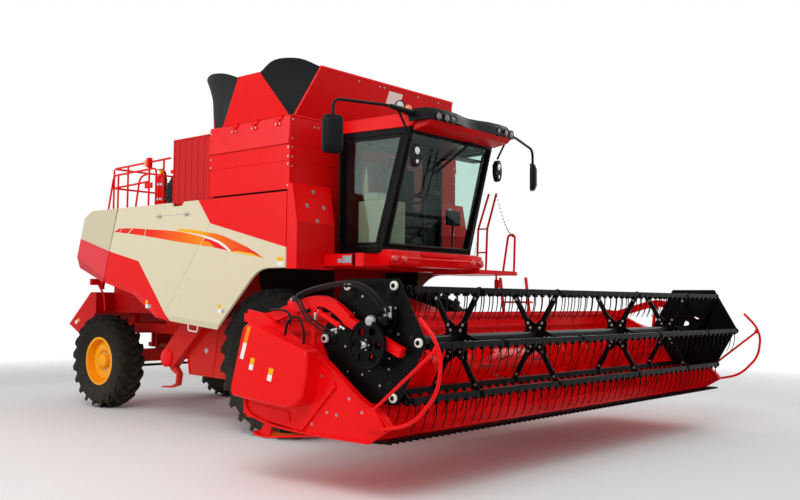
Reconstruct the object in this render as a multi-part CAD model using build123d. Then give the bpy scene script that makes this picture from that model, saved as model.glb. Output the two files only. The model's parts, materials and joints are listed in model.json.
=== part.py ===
from build123d import *
import os
from math import cos, hypot, radians, sin, tan

os.makedirs("parts", exist_ok=True)

# Self-propelled grain harvester, built from separate pieces.
# X points forward and is 0 at the front axle while building, Y points left, Z up from the ground, mm.
# At the end the whole machine is moved so that its origin is at the middle of its box.

# Wheels
WHEELBASE = 3735
FRONT_TYRE_R = 800
FRONT_TYRE_W = 467
FRONT_RIM_R = 395
FRONT_TRACK = 2 * 1246
REAR_TYRE_R = 625
REAR_TYRE_W = 378
REAR_RIM_R = 323
REAR_TRACK = 2 * 1043
LUG_H = 42
FRONT_LUGS = 22
REAR_LUGS = 20
LUG_T = 52
RIM_SHARE = 0.76
DISC_SHARE = 0.15
STEER_ARM = 190

# Body
BODY_HALF_W = 1500
COVER_T = 24
SHEET = 8
DECK_Z = 2600
HOOD_Z = 2625
HOOD_T = 12
COVER_AXIS = (BODY_HALF_W - 38, 2620)
SHIELD_Y = BODY_HALF_W - 370
COVER_HINGES = (-2600, -1900)
CORE_HALF_W = 720
TANK_REAR_X = -1050
TANK_FRONT_X = 300
TANK_HALF_W = BODY_HALF_W - 50
TANK_BOTTOM_Z = 2640
TANK_TOP_Z = 3445

# Cab
CAB_REAR_X = 480
CAB_FLOOR_Z = 1985
CAB_SILL_Z = 2045
CAB_TOP_Z = 3300
CAB_ROOF_Z = 3440
CAB_REAR_HALF_W = 855
CAB_FRONT_HALF_W = 745
PILLAR_FOOT_X = 1040
PILLAR_TOP_X = 1385
CAB_WALL = 42
GLASS_T = 6

# Header, at its raised rest position
FEEDER_PIVOT = (100, 1435)
HEADER_BACK_X = 1600
HEADER_TOP_Z = 1365
PAN_Z = 455
KNIFE_X = 3040
HEADER_AUGER = (1985, 840)
AUGER_FLIGHT_R = 285
AUGER_TUBE_R = 150

# Reel
REEL_AXIS = (2935, 1156)
REEL_OFFSET = (-68, 26)
REEL_R = 470
REEL_HALF_W = 2900
PLATE_Y = REEL_HALF_W + 46
TINE_LEN = 215
TINE_PITCH = 125
BATS = 6
ARM_ROOT = (1770, 1314)
ARM_ELBOW = (2434, 1484)
ARM_KNEE = (2736, 1304)
ARM_TIP = (3220, 1106)
REEL_EYE = (2335, 1395)
REEL_BASE = (2290, 990)
ARM_Y = REEL_HALF_W + 105
HEADER_HALF_W = ARM_Y + 45
ARM_W = 50
HOSE_FOOT_Z = 1475
ARM_H = 70


# Shapes
def block(x, y, z):
    """Box from three (low, high) pairs."""
    size = [high - low for low, high in (x, y, z)]
    middle = [(high + low) / 2 for low, high in (x, y, z)]
    return Pos(*middle) * Box(*size)


def prism(points, axis, low, high):
    """Closed outline in the plane across an axis, pushed from low to high along it."""
    lift = {"x": lambda a, b: (low, a, b), "y": lambda a, b: (a, low, b),
            "z": lambda a, b: (a, b, low)}[axis]
    way = {"x": (high - low, 0, 0), "y": (0, high - low, 0), "z": (0, 0, high - low)}[axis]
    face = Face(Wire.make_polygon([Vector(*lift(a, b)) for a, b in points], close=True))
    return Solid.extrude(face, Vector(*way))


def rod(start, end, radius, bore=0):
    """Round bar or tube between two points."""
    a, b = Vector(*start), Vector(*end)
    plane = Plane(origin=a, z_dir=b - a)
    bar = Solid.make_cylinder(radius, (b - a).length, plane)
    return cut(bar, Solid.make_cylinder(bore, (b - a).length, plane)) if bore else bar


def across(x, z, radius, y0, y1, bore=0):
    """Round bar along Y."""
    return rod((x, y0, z), (x, y1, z), radius, bore)


def bent_tube(points, radius, bend):
    """Round tube along straight runs with equal bends."""
    path = FilletPolyline(*points, radius=bend) if len(points) > 2 else Line(*points)
    edges = path.edges()
    start = Plane(origin=path @ 0, z_dir=path % 0)
    return sweep(start * Circle(radius), path=Wire(edges))


def bar(start, end, y0, y1, height):
    """Flat-sided bar of a given height between two (x, z) points, from y0 to y1."""
    (xa, za), (xb, zb) = start, end
    run = hypot(xb - xa, zb - za)
    ox, oz = -(zb - za) / run * height / 2, (xb - xa) / run * height / 2
    ring = [(xa + ox, za + oz), (xb + ox, zb + oz), (xb - ox, zb - oz), (xa - ox, za - oz)]
    return prism(ring, "y", y0, y1)


def other_side(shape):
    """The same piece on the machine's other side."""
    return shape.mirror(Plane.XZ)


def both(shape):
    return [shape, other_side(shape)]


def solids_in(shapes):
    """All the solids in a list of shapes."""
    return [solid for shape in shapes for solid in shape.solids()]


def fuse(shapes):
    """One shape from several that touch or overlap."""
    first, *rest = solids_in(shapes)
    return Compound(first.fuse(*rest).solids()) if rest else first


def cut(shape, tools):
    """A shape less one tool or a list of them."""
    tools = solids_in(tools if isinstance(tools, list) else [tools])
    return Compound(solids_in([solid.cut(*tools) for solid in shape.solids()]))


def common(shape, other):
    """What two shapes share."""
    return Compound(shape.intersect(other).solids())


NODES = {}


def add(name, *shapes):
    """Keep a node's solids until the whole machine is placed."""
    solids = []
    for shape in shapes:
        solids += list(shape.solids())
    NODES[name] = solids


# Wheels
def revolved(section, x, y, z):
    """Ring about a wheel's axle from (radius, offset along Y) points."""
    face = Face(Wire.make_polygon([Vector(x + r, y + w, z) for r, w in section], close=True))
    return Solid.revolve(face, 360, Axis((x, y, z), (0, 1, 0)))


def tyre(x, y, outer, width, bead_r, lugs):
    """Farm tyre: a rounded carcass with slanted lugs fused to it."""
    half = width / 2
    tread = outer - LUG_H
    bulge = bead_r + (outer - bead_r) * 0.5
    carcass = revolved([(bead_r, -half * RIM_SHARE), (bulge, -half), (tread - 50, -half * 0.93),
                        (tread, -half * 0.62),
                        (tread, half * 0.62), (tread - 50, half * 0.93), (bulge, half),
                        (bead_r, half * RIM_SHARE)],
                       x, y, outer)
    crown = revolved([(tread - 110, -half), (outer - 30, -half), (outer, -half * 0.6),
                      (outer, half * 0.6), (outer - 30, half), (tread - 110, half)], x, y, outer)
    # One lug stands ahead of the axle: it leads at the middle and sweeps back to the shoulder
    reach = half * 0.96
    line = [(-14, 0), (reach * 0.45, 62), (reach, 190), (reach, 190 + LUG_T), (reach * 0.45, 62 + LUG_T),
            (-14, LUG_T)]
    ring = [(y + w, outer + t) for w, t in line]
    lug = common(prism(ring, "x", x + tread - 110, x + outer + 60), crown)
    axle = Axis((x, y, outer), (0, 1, 0))
    mirrored = lug.mirror(Plane(origin=(x, y, outer), z_dir=(0, 1, 0)))
    pieces = [carcass]
    for i in range(lugs):
        pieces.append(lug.rotate(axle, i * 360 / lugs))
        pieces.append(mirrored.rotate(axle, (i + 0.5) * 360 / lugs))
    return fuse(pieces)


def rim(x, y, radius, bead_r, width, side):
    """Wheel with a barrel, a dished disc and a hub; side is -1 on the right."""
    half = width / 2 * RIM_SHARE
    seat = side * half * DISC_SHARE
    barrel = revolved([(bead_r, -half), (bead_r, half), (bead_r - 30, half), (bead_r - 30, half - 14),
                       (bead_r - 26, 0), (bead_r - 30, 14 - half), (bead_r - 30, -half)], x, y, radius)
    disc = revolved([(bead_r - 20, seat + side * 10), (bead_r - 90, seat + side * 42),
                     (150, seat + side * 42),
                     (130, seat + side * 14), (60, seat + side * 14), (60, seat - side * 0),
                     (140, seat - side * 0), (162, seat + side * 28), (bead_r - 96, seat + side * 28),
                     (bead_r - 20, seat - side * 6)], x, y, radius)
    hub = across(x, radius, 92, y + seat, y + seat + side * 70)
    return fuse([barrel, disc, hub])


WHEEL_FIT = 0.3
WHEELS = [  # name, x, track, tyre radius, tyre width, rim radius, lugs
    ("front", 0, FRONT_TRACK, FRONT_TYRE_R, FRONT_TYRE_W, FRONT_RIM_R, FRONT_LUGS),
    ("rear", -WHEELBASE, REAR_TRACK, REAR_TYRE_R, REAR_TYRE_W, REAR_RIM_R, REAR_LUGS),
]
for name, x, track, radius, width, rim_r, lugs in WHEELS:
    for side_name, side in (("right", -1), ("left", 1)):
        y = side * track / 2
        add(f"{name}_tyre_{side_name}", tyre(x, y, radius, width, rim_r, lugs))
        add(f"{name}_rim_{side_name}", rim(x, y, radius, rim_r, width, side))

# Axles. Each hub flange ends a running gap from the wheel disc that it carries.
FRONT_DISC_Y = FRONT_TRACK / 2 + FRONT_TYRE_W / 2 * RIM_SHARE * DISC_SHARE
REAR_DISC_Y = REAR_TRACK / 2 + REAR_TYRE_W / 2 * RIM_SHARE * DISC_SHARE
AXLE_Z = FRONT_TYRE_R
front = [rod((0, -880, AXLE_Z), (0, 880, AXLE_Z), 95)]
for side in (-1, 1):
    front.append(block((-170, 170), sorted((side * 560, side * 760)), (AXLE_Z - 190, AXLE_Z + 260)))
    front.append(across(0, AXLE_Z, 210, side * 760, side * 920))
    front.append(across(0, AXLE_Z, 118, side * 920, side * (FRONT_DISC_Y - WHEEL_FIT)))
CYL_BASE = (200, 560)
for side in (-1, 1):
    lug = prism([(60, 720), (60, 470), (250, 500), (250, 620)], "y", side * 380 - 45, side * 380 - 31)
    far = prism([(60, 720), (60, 470), (250, 500), (250, 620)], "y", side * 380 + 31, side * 380 + 45)
    front += [lug, far, across(*CYL_BASE, 14, side * 380 - 45, side * 380 + 45)]
    front.append(block((-60, 80), (side * 380 - 60, side * 380 + 60), (600, AXLE_Z)))
add("front_axle", fuse(front))

REAR_X = -WHEELBASE
KINGPIN_Y = 800
REAR_BEAM_Z = 690
rear = [block((REAR_X - 90, REAR_X + 90), (-KINGPIN_Y + 70, KINGPIN_Y - 70),
              (REAR_BEAM_Z - 95, REAR_BEAM_Z + 75))]
rear.append(rod((REAR_X - 200, 0, REAR_BEAM_Z + 130), (REAR_X + 200, 0, REAR_BEAM_Z + 130), 60))
rear.append(block((REAR_X - 80, REAR_X + 80), (-170, 170), (REAR_BEAM_Z, REAR_BEAM_Z + 140)))
for side in (-1, 1):
    for z0, z1 in ((REAR_BEAM_Z + 45, REAR_BEAM_Z + 85), (REAR_BEAM_Z - 205, REAR_BEAM_Z - 165)):
        rear.append(block((REAR_X - 55, REAR_X + 55),
                          sorted((side * (KINGPIN_Y - 120), side * (KINGPIN_Y + 55))), (z0, z1)))
    rear.append(block((REAR_X - 55, REAR_X + 55),
                      sorted((side * (KINGPIN_Y - 120), side * (KINGPIN_Y - 70))),
                      (REAR_BEAM_Z - 205, REAR_BEAM_Z + 85)))
    rear.append(rod((REAR_X, side * KINGPIN_Y, REAR_BEAM_Z - 205),
                    (REAR_X, side * KINGPIN_Y, REAR_BEAM_Z + 85), 22))
add("rear_axle", fuse(rear))

TIE_Z = REAR_BEAM_Z - 140
for side_name, side in (("right", -1), ("left", 1)):
    y = side * KINGPIN_Y
    body = rod((REAR_X, y, REAR_BEAM_Z - 160), (REAR_X, y, REAR_BEAM_Z + 40), 44, 22.3)
    stub = across(REAR_X, REAR_TYRE_R, 45, y + side * 40, side * (REAR_DISC_Y - 40))
    flange = across(REAR_X, REAR_TYRE_R, 110, side * (REAR_DISC_Y - 40), side * (REAR_DISC_Y - WHEEL_FIT))
    arm = block((REAR_X - STEER_ARM, REAR_X - 35), (y - 22, y + 22), (TIE_Z - 12, TIE_Z + 12))
    ball = rod((REAR_X - STEER_ARM, y, TIE_Z - 40), (REAR_X - STEER_ARM, y, TIE_Z + 12), 11)
    add(f"knuckle_{side_name}", fuse([body, stub, flange, arm, ball]))
eye_y = KINGPIN_Y
tie = [rod((REAR_X - STEER_ARM, -eye_y + 60, TIE_Z - 28), (REAR_X - STEER_ARM, eye_y - 60, TIE_Z - 28), 18)]
for side in (-1, 1):
    ring = rod((REAR_X - STEER_ARM, side * eye_y, TIE_Z - 36),
               (REAR_X - STEER_ARM, side * eye_y, TIE_Z - 12.3), 66, 52)
    tie.append(ring)
add("tie_rod", fuse(tie))

# Frame: two long rails and the cross members that the axles and the body sit on
HITCH_X = -4230
HITCH_Z = (770, 830)
HITCH_R = 16
RAIL_Y = 520
RAIL_Z = (1000, 1130)
frame = []
for side in (-1, 1):
    frame.append(block((-4100, 120), (side * RAIL_Y - 40, side * RAIL_Y + 40), RAIL_Z))
for x, half in ((-4050, 50), (REAR_X, 205), (-2900, 50), (-1900, 50), (-900, 50), (-70, 50)):
    frame.append(block((x - half, x + half), (-RAIL_Y, RAIL_Y), RAIL_Z))
for side in (-1, 1):
    frame.append(block((-120, 120), (side * 640 - 60, side * 640 + 60), (AXLE_Z + 260, RAIL_Z[1])))
    frame.append(block((-120, 120), sorted((side * RAIL_Y, side * 640)), (AXLE_Z + 260, RAIL_Z[1])))
for x in (REAR_X - 200, REAR_X + 170):
    frame.append(prism([(x, 760), (x + 30, 760), (x + 30, RAIL_Z[0]), (x, RAIL_Z[0])], "y", -160, 160))
frame.append(block((-4090, -4060), (-120, 120), (HITCH_Z[0], RAIL_Z[0])))
frame.append(block((HITCH_X, -4060), (-60, 60), HITCH_Z))
frame.append(rod((HITCH_X, 0, HITCH_Z[0]), (HITCH_X, 0, HITCH_Z[1]), 60))
hitch_bore = rod((HITCH_X, 0, HITCH_Z[0] - 10), (HITCH_X, 0, HITCH_Z[1] + 10), HITCH_R)
add("main_frame", cut(cut(fuse(frame), hitch_bore),
                      rod((REAR_X - 210, 0, REAR_BEAM_Z + 130), (REAR_X + 210, 0, REAR_BEAM_Z + 130),
                          60.3)))

# Threshing and cleaning body. It is closed, so it is one solid, with the deck, shields and elevators on it.
CORE = [(-4150, 1275), (-2950, 1275), (-2850, RAIL_Z[1]), (-400, RAIL_Z[1]), (-250, 1250), (-250, 2150),
        (-880, 2150), (-1100, 2560), (-2800, 2560), (-3350, 2350), (-4150, 1700)]
core = [prism(CORE, "y", -CORE_HALF_W, CORE_HALF_W)]
for side in (-1, 1):
    ear = prism([(-250, 1230), (FEEDER_PIVOT[0] + 70, 1350), (FEEDER_PIVOT[0] + 70, 1520), (-250, 1700)],
                "y",
                side * 530 - 15, side * 530 + 15)
    core += [ear, across(*FEEDER_PIVOT, 40, side * 330, side * 545)]
core.append(block((-2960, -1060), (-BODY_HALF_W + 60, BODY_HALF_W - 60), (DECK_Z - 40, DECK_Z)))
core.append(block((-2960, -2900), (-BODY_HALF_W + 60, BODY_HALF_W - 60), (DECK_Z, HOOD_Z - HOOD_T)))
for side in (-1, 1):
    core.append(block((-3950, -3850), (side * RAIL_Y - 40, side * RAIL_Y + 40), (RAIL_Z[1], 1275)))
    for x in COVER_HINGES:
        for x0, x1 in ((x - 40, x - 20), (x + 20, x + 40)):
            core.append(block((x0, x1), sorted((side * (BODY_HALF_W - 80), side * (COVER_AXIS[0] + 6))),
                              (DECK_Z, COVER_AXIS[1] + 8)))
        core.append(rod((x - 40, side * COVER_AXIS[0], COVER_AXIS[1]),
                        (x + 40, side * COVER_AXIS[0], COVER_AXIS[1]), 6))
SHIELD = [(-1750, 560), (-920, 540), (-880, 1150), (-1330, 1210), (-1800, 830)]
ELEVATOR = [(-2110, 640), (-1990, 640), (-1380, 1160), (-1380, 1420), (-1560, 1420), (-2190, 830),
            (-2210, 740)]
for side in (-1, 1):
    core.append(prism(SHIELD, "y", *sorted((side * SHIELD_Y, side * (SHIELD_Y + 30)))))
    core.append(prism(ELEVATOR, "y", *sorted((side * SHIELD_Y, side * (SHIELD_Y + 110)))))
    for x, z in ((-1450, 1090), (-1000, 1090)):
        core.append(block((x - 40, x + 40), sorted((side * (RAIL_Y + 40), side * (SHIELD_Y + 10))),
                          (z - 30, z + 30)))
    core.append(block((-1540, -1400), sorted((side * (CORE_HALF_W - 20), side * (SHIELD_Y + 70))),
                      (1250, 1400)))
HOOK = [(-2110, 660), (-1990, 660), (-1900, 560), (-1930, 420), (-2060, 380), (-2250, 375), (-2250, 390),
        (-2070, 400), (-1960, 440), (-1950, 550), (-2060, 600)]
core.append(prism(HOOK, "y", -SHIELD_Y - 80, -SHIELD_Y - 10))
add("thresher_body", fuse(core))

# Straw chopper under the hood, with its pointed side sheets
CHOPPER = [(-4150, 1275), (-4150, 1560), (-4290, 1560), (-4850, 1100), (-4550, 956), (-4330, 1100)]
add("chopper", prism(CHOPPER, "y", 500 - BODY_HALF_W, BODY_HALF_W - 500))

# Tail hood: side walls, a rear wall and a sloping top, open below. Its rear corners are cut off at a slant.
TAIL_X = -4330
HOOD_TOP = [(-2880, HOOD_Z), (-3470, HOOD_Z), (-3650, 2541), (-4240, 2330)]
HOOD_REAR = [(TAIL_X, 2100), (TAIL_X + 60, 1900)]
HOOD_LOW = [(-3741, 1877), (-3170, 1680)]
HOOD_CORNER = [(-3499, 3000), (-3820, 2024), (-3741, 1877), (-3200, 870), (3000, 870), (3000, 3000)]
CORNER_SLANT = 0.98


def hood(t):
    """Hood block drawn in by t; the skin is the block less the same block drawn in."""
    reach, drop = (900, 300) if t else (0, 0)
    side = [(HOOD_TOP[0][0] + reach, HOOD_TOP[0][1] - t)] + [(x, z - t) for x, z in HOOD_TOP[1:]]
    side += [(HOOD_REAR[0][0] + t, HOOD_REAR[0][1]), (HOOD_REAR[1][0] + t, HOOD_REAR[1][1] - drop)]
    side += [(HOOD_LOW[0][0], HOOD_LOW[0][1] - drop), (HOOD_LOW[1][0] + reach, HOOD_LOW[1][1] - drop)]
    ring = [Vector(x + 1.5 * t, -BODY_HALF_W, z) for x, z in HOOD_CORNER]
    run = Vector(-2 * BODY_HALF_W * CORNER_SLANT, 2 * BODY_HALF_W, 0)
    corner = Solid.extrude(Face(Wire.make_polygon(ring, close=True)), run)
    return common(common(prism(side, "y", t - BODY_HALF_W, BODY_HALF_W - t), corner), other_side(corner))


add("tail_hood", cut(hood(0), hood(HOOD_T)))

# Gull-wing side covers, hinged along their top edge
COVER_TOP_Z = COVER_AXIS[1]
COVER_FRONT_X = TANK_FRONT_X + 20
COVER = [(-2850, COVER_TOP_Z), (-3160, 1677), (-2497, 1526), (-2008, 1247), (-1720, 1212), (-821, 1133),
         (-183, 1748),
         (4, 1812), (COVER_FRONT_X, 1812), (COVER_FRONT_X, COVER_TOP_Z)]
for side_name, side in (("right", -1), ("left", 1)):
    y = side * BODY_HALF_W
    cover = [prism(COVER, "y", *sorted((y, y - side * COVER_T)))]
    ay, az = side * COVER_AXIS[0], COVER_AXIS[1]
    for x in COVER_HINGES:
        cover.append(rod((x - 18, ay, az), (x + 18, ay, az), 14))
        cover.append(block((x - 18, x + 18), sorted((ay, y - side * COVER_T / 2)), (az - 40, az)))
    pins = [rod((x - 30, ay, az), (x + 30, ay, az), 6.3) for x in COVER_HINGES]
    add(f"side_cover_{side_name}", cut(fuse(cover), pins))

# Grain tank: open above, with a hopper below its straight walls
def tank_block(t):
    """Straight part and hopper, drawn in by t."""
    x0, x1, y1 = TANK_REAR_X + t, TANK_FRONT_X - t, TANK_HALF_W - t
    upper = block((x0, x1), (-y1, y1), (TANK_BOTTOM_Z, TANK_TOP_Z + 200 * (t > 0)))
    top = Face(Wire.make_polygon([Vector(x0, -y1, TANK_BOTTOM_Z), Vector(x1, -y1, TANK_BOTTOM_Z),
                                  Vector(x1, y1, TANK_BOTTOM_Z), Vector(x0, y1, TANK_BOTTOM_Z)],
                                 close=True))
    low = [(-800 + t, -600 + t), (150 - t, -600 + t), (150 - t, 600 - t), (-800 + t, 600 - t)]
    foot = Face(Wire.make_polygon([Vector(x, y, 2150 + t) for x, y in low], close=True))
    return fuse([upper, Solid.make_loft([foot.outer_wire(), top.outer_wire()], ruled=True)])


add("grain_tank", cut(tank_block(0), tank_block(SHEET)))

# Tank extension: four sheets that lean outward, with folded rubber corners between them
def sheet(corners, thickness):
    """Flat four-cornered sheet, thickened inward along its normal."""
    ring = [Vector(*c) for c in corners]
    face = Face(Wire.make_polygon(ring, close=True))
    return Solid.extrude(face, face.normal_at() * thickness)


TW = TANK_HALF_W
right_flap = [(-810, -TW, TANK_TOP_Z), (330 - 60, -TW, TANK_TOP_Z), (-60, -TW - 130, 3930),
              (-400, -TW - 130, 3930)]
front_flap = [(TANK_FRONT_X, -TW + 60, TANK_TOP_Z), (TANK_FRONT_X, TW - 60, TANK_TOP_Z),
              (450, TW - 300, 4000), (450, 300 - TW, 4000)]
rear_flap = [(TANK_REAR_X, TW - 60, TANK_TOP_Z), (TANK_REAR_X, -TW + 60, TANK_TOP_Z),
             (-1400, 300 - TW, 4040), (-1400, TW - 300, 4040)]
right = sheet(right_flap, SHEET)
add("tank_extension", right, other_side(right), sheet(front_flap, SHEET), sheet(rear_flap, SHEET))

FOOT_Z = TANK_TOP_Z
fans = []
for fan in ([(282, -TW, FOOT_Z), (TANK_FRONT_X, -TW + 48, FOOT_Z), (450, 285 - TW, 4000),
             (200, -TW - 10, 4050), (-48, -TW - 130, 3930)],
            [(TANK_REAR_X, -TW + 48, FOOT_Z), (-822, -TW, FOOT_Z), (-412, -TW - 130, 3930),
             (-900, -TW - 50, 4080), (-1412, 285 - TW, 4040)]):
    folds = []
    for a, b in ((1, 2), (2, 3), (3, 4)):
        fold = Face(Wire.make_polygon([Vector(*fan[0]), Vector(*fan[a]), Vector(*fan[b])], close=True))
        folds.append(Solid.extrude(fold, fold.normal_at() * 5))
    fans.append(cut(fuse(folds), block((-2000, 1000), (-2000, 0), (TANK_TOP_Z - 200, TANK_TOP_Z))))
add("extension_corners", *(fans + [other_side(fan) for fan in fans]))

# Screened radiator box and the engine behind the tank
add("screen_box", block((-1760, TANK_REAR_X - 5), (-TANK_HALF_W, -260), (DECK_Z, 3390)))
add("engine", block((-1780, -1100), (-180, 800), (DECK_Z, 3150)))

# Deck rails with the fire extinguisher in its clamp
POST_R = 15
rails = []
RAIL_TOP_Z = 3230
RAIL_MID_Z = 2960
for side in (-1, 1):
    y = side * (BODY_HALF_W - 120)
    for x in (-2800, -2400, -1900):
        rails.append(rod((x, y, DECK_Z), (x, y, RAIL_TOP_Z), POST_R))
    rails.append(rod((-2800, y, RAIL_TOP_Z), (-1900, y, RAIL_TOP_Z), POST_R))
    rails.append(rod((-2800, y, RAIL_MID_Z), (-1900, y, RAIL_MID_Z), POST_R))
rails.append(rod((-2800, 120 - BODY_HALF_W, RAIL_TOP_Z), (-2800, BODY_HALF_W - 120, RAIL_TOP_Z), POST_R))
rails.append(rod((-2800, 120 - BODY_HALF_W, RAIL_MID_Z), (-2800, BODY_HALF_W - 120, RAIL_MID_Z), POST_R))
rails.append(rod((-1990, 200 - BODY_HALF_W, DECK_Z), (-1990, 200 - BODY_HALF_W, DECK_Z + 480), 85))
rails.append(block((-2000, -1880), (110 - BODY_HALF_W, 210 - BODY_HALF_W), (DECK_Z + 240, DECK_Z + 280)))
add("deck_rails", fuse(rails))

# Unloading auger: an elbow on the left of the tank and the long tube stowed rearward
ELBOW = (-120, TANK_HALF_W + 190)
ELBOW_Z = (2700, 3150)
AUGER_R = 160
AUGER_Z = 3330
AUGER_TIP_X = -4350
SPOUT_R = 140
SPOUT_Z = (2910, 3110)
add("auger_base", fuse([rod((*ELBOW, ELBOW_Z[0]), (*ELBOW, ELBOW_Z[1]), AUGER_R),
                        block((-250, 10), (TANK_HALF_W, ELBOW[1] + 10), (2760, 2960))]))
tube = [rod((*ELBOW, ELBOW_Z[1] + 0.3), (*ELBOW, AUGER_Z + 60), AUGER_R),
        rod((ELBOW[0], ELBOW[1], AUGER_Z - 20), (AUGER_TIP_X, ELBOW[1], AUGER_Z - 20), AUGER_R),
        rod((AUGER_TIP_X, ELBOW[1], AUGER_Z - 20), (AUGER_TIP_X, ELBOW[1], SPOUT_Z[0]), SPOUT_R),
        rod((AUGER_TIP_X, ELBOW[1], AUGER_Z - 20), (AUGER_TIP_X, ELBOW[1], SPOUT_Z[1]), AUGER_R + 10)]
add("unloading_auger", fuse(tube))

BOX_X = (COVER_FRONT_X + 6, CAB_REAR_X - 4)

# Front panels: boxes beside the cab, the deck under the cab and its bumper
panels = []
for side in (-1, 1):
    box = prism([(BOX_X[0], 1805), (BOX_X[1], 1805), (BOX_X[1], 2300), (BOX_X[0] + 70, 2705),
                 (BOX_X[0], 2705)], "y",
                *sorted((side * (CAB_REAR_HALF_W + 80), side * (BODY_HALF_W - 5))))
    panels.append(box)
    panels.append(block((-250, 1000), sorted((side * 640, side * 760)), (1830, CAB_FLOOR_Z)))
panels.append(block((200, TANK_FRONT_X + 180), (-CAB_REAR_HALF_W - 85, CAB_REAR_HALF_W + 85),
                    (1830, CAB_FLOOR_Z)))
bumper = prism([(1000, 1850), (1165, 1850), (1200, 1930), (1150, 2015), (1046, 2015), (1046, CAB_FLOOR_Z),
                (1000, CAB_FLOOR_Z)], "y", -800, 800)
panels += [bumper, block((940, 1010), (-760, 760), (1850, CAB_FLOOR_Z))]
panels.append(block((490, 1000), (-1100, -640), (1840, CAB_FLOOR_Z - 20)))
add("front_panels", fuse(panels))

# Cab: floor, pillars and roof ring from one shell, with the openings cut through
def cab_block(t, z0, z1):
    """Cab volume drawn in by t; its sides lean in toward the front and its windscreen leans forward."""
    r, f = CAB_REAR_HALF_W - t, CAB_FRONT_HALF_W - t
    plan = [(CAB_REAR_X + t, -r), (PILLAR_TOP_X, -f), (PILLAR_TOP_X, f), (CAB_REAR_X + t, r)]
    side = [(CAB_REAR_X + t, CAB_FLOOR_Z), (PILLAR_FOOT_X - t, CAB_FLOOR_Z),
            (PILLAR_FOOT_X - t, CAB_SILL_Z),
            (PILLAR_TOP_X - t, CAB_TOP_Z), (CAB_REAR_X + t, CAB_TOP_Z)]
    return common(prism(plan, "z", z0, z1), prism(side, "y", -1200, 1200))


cab = cut(cab_block(0, CAB_FLOOR_Z, CAB_TOP_Z), cab_block(CAB_WALL, CAB_SILL_Z, CAB_TOP_Z - 50))
side_run = hypot(PILLAR_TOP_X - CAB_REAR_X, CAB_REAR_HALF_W - CAB_FRONT_HALF_W)
side_dir = Vector((PILLAR_TOP_X - CAB_REAR_X) / side_run, (CAB_REAR_HALF_W - CAB_FRONT_HALF_W) / side_run,
                  0)
SIDE_PLANE = Plane(origin=(CAB_REAR_X, -CAB_REAR_HALF_W, 0), x_dir=side_dir,
                   z_dir=(side_dir.Y, -side_dir.X, 0))
LEAN = (PILLAR_TOP_X - PILLAR_FOOT_X) / (CAB_TOP_Z - CAB_SILL_Z)
OPEN_U = 42
OPEN_LOW = CAB_SILL_Z + 12
OPEN_HIGH = CAB_TOP_Z - 62


def side_outline(inset):
    """Door outline on the cab's side plane, as (distance forward, height)."""
    low, high = OPEN_LOW + inset, OPEN_HIGH - inset

    def front(z):
        return (PILLAR_FOOT_X - CAB_REAR_X + LEAN * (z - CAB_SILL_Z)) * side_run / (PILLAR_TOP_X - CAB_REAR_X) - 62
    return [(OPEN_U + inset, low), (front(low) - inset, low), (front(high) - inset, high),
            (OPEN_U + inset, high)]


def side_slab(inset, low, high):
    """Slab on the right side plane, between two depths outward of it."""
    ring = [SIDE_PLANE.from_local_coords(Vector(u, v, low)) for u, v in side_outline(inset)]
    face = Face(Wire.make_polygon(ring, close=True))
    return Solid.extrude(face, SIDE_PLANE.z_dir * (high - low))


DOOR_GAP = 6
DOOR_FRAME = 36
opening = side_slab(0, -CAB_WALL - 30, 30)
cab = cut(cab, both(opening))
WINDSCREEN_HALF_W = CAB_FRONT_HALF_W - 55


def screen_slab(inset, low, high):
    """Slab on the windscreen plane, between two depths ahead of it."""
    z0, z1 = CAB_SILL_Z + 25 + inset, CAB_TOP_Z - 60 - inset
    n = Vector(1, 0, -LEAN).normalized()
    half = WINDSCREEN_HALF_W - inset
    ring = [Vector(PILLAR_FOOT_X + LEAN * (z - CAB_SILL_Z), y, z) + n * low
            for y, z in ((-half, z0), (half, z0), (half, z1), (-half, z1))]
    return Solid.extrude(Face(Wire.make_polygon(ring, close=True)), n * (high - low))


cab = cut(cab, screen_slab(0, -90, 90))
cab = cut(cab, block((CAB_REAR_X - 10, CAB_REAR_X + CAB_WALL + 10), (-560, 560), (2450, CAB_TOP_Z - 120)))
HINGE_U, HINGE_N, HINGE_V = 30, 14, (2220, 3040)


def side_rod(v0, v1, radius):
    """Upright bar on the right door's hinge line."""
    ends = [SIDE_PLANE.from_local_coords(Vector(HINGE_U, v, HINGE_N)) for v in (v0, v1)]
    return rod(tuple(ends[0]), tuple(ends[1]), radius)


def side_block(u, v, n):
    """Block on the right side plane from (low, high) pairs along it, up it and outward of it."""
    ring = [SIDE_PLANE.from_local_coords(Vector(a, b, n[0])) for a,
            b in ((u[0], v[0]), (u[1], v[0]), (u[1], v[1]), (u[0], v[1]))]
    return Solid.extrude(Face(Wire.make_polygon(ring, close=True)), SIDE_PLANE.z_dir * (n[1] - n[0]))


hinge_seats = []
for v in HINGE_V:
    hinge_seats += [side_block((HINGE_U - 10, HINGE_U + 10), (v - 30, v - 10), (-5, HINGE_N + 8)),
                    side_rod(v - 30, v + 14, 6)]
add("cab_frame", fuse([cab] + hinge_seats + [other_side(s) for s in hinge_seats]))
rear_pane = block((CAB_REAR_X + 15, CAB_REAR_X + 15 + GLASS_T), (-559.7, 559.7),
                  (2450.3, CAB_TOP_Z - 120.3))
add("cab_glass", screen_slab(0.3, -20, -20 + GLASS_T), rear_pane)

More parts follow.
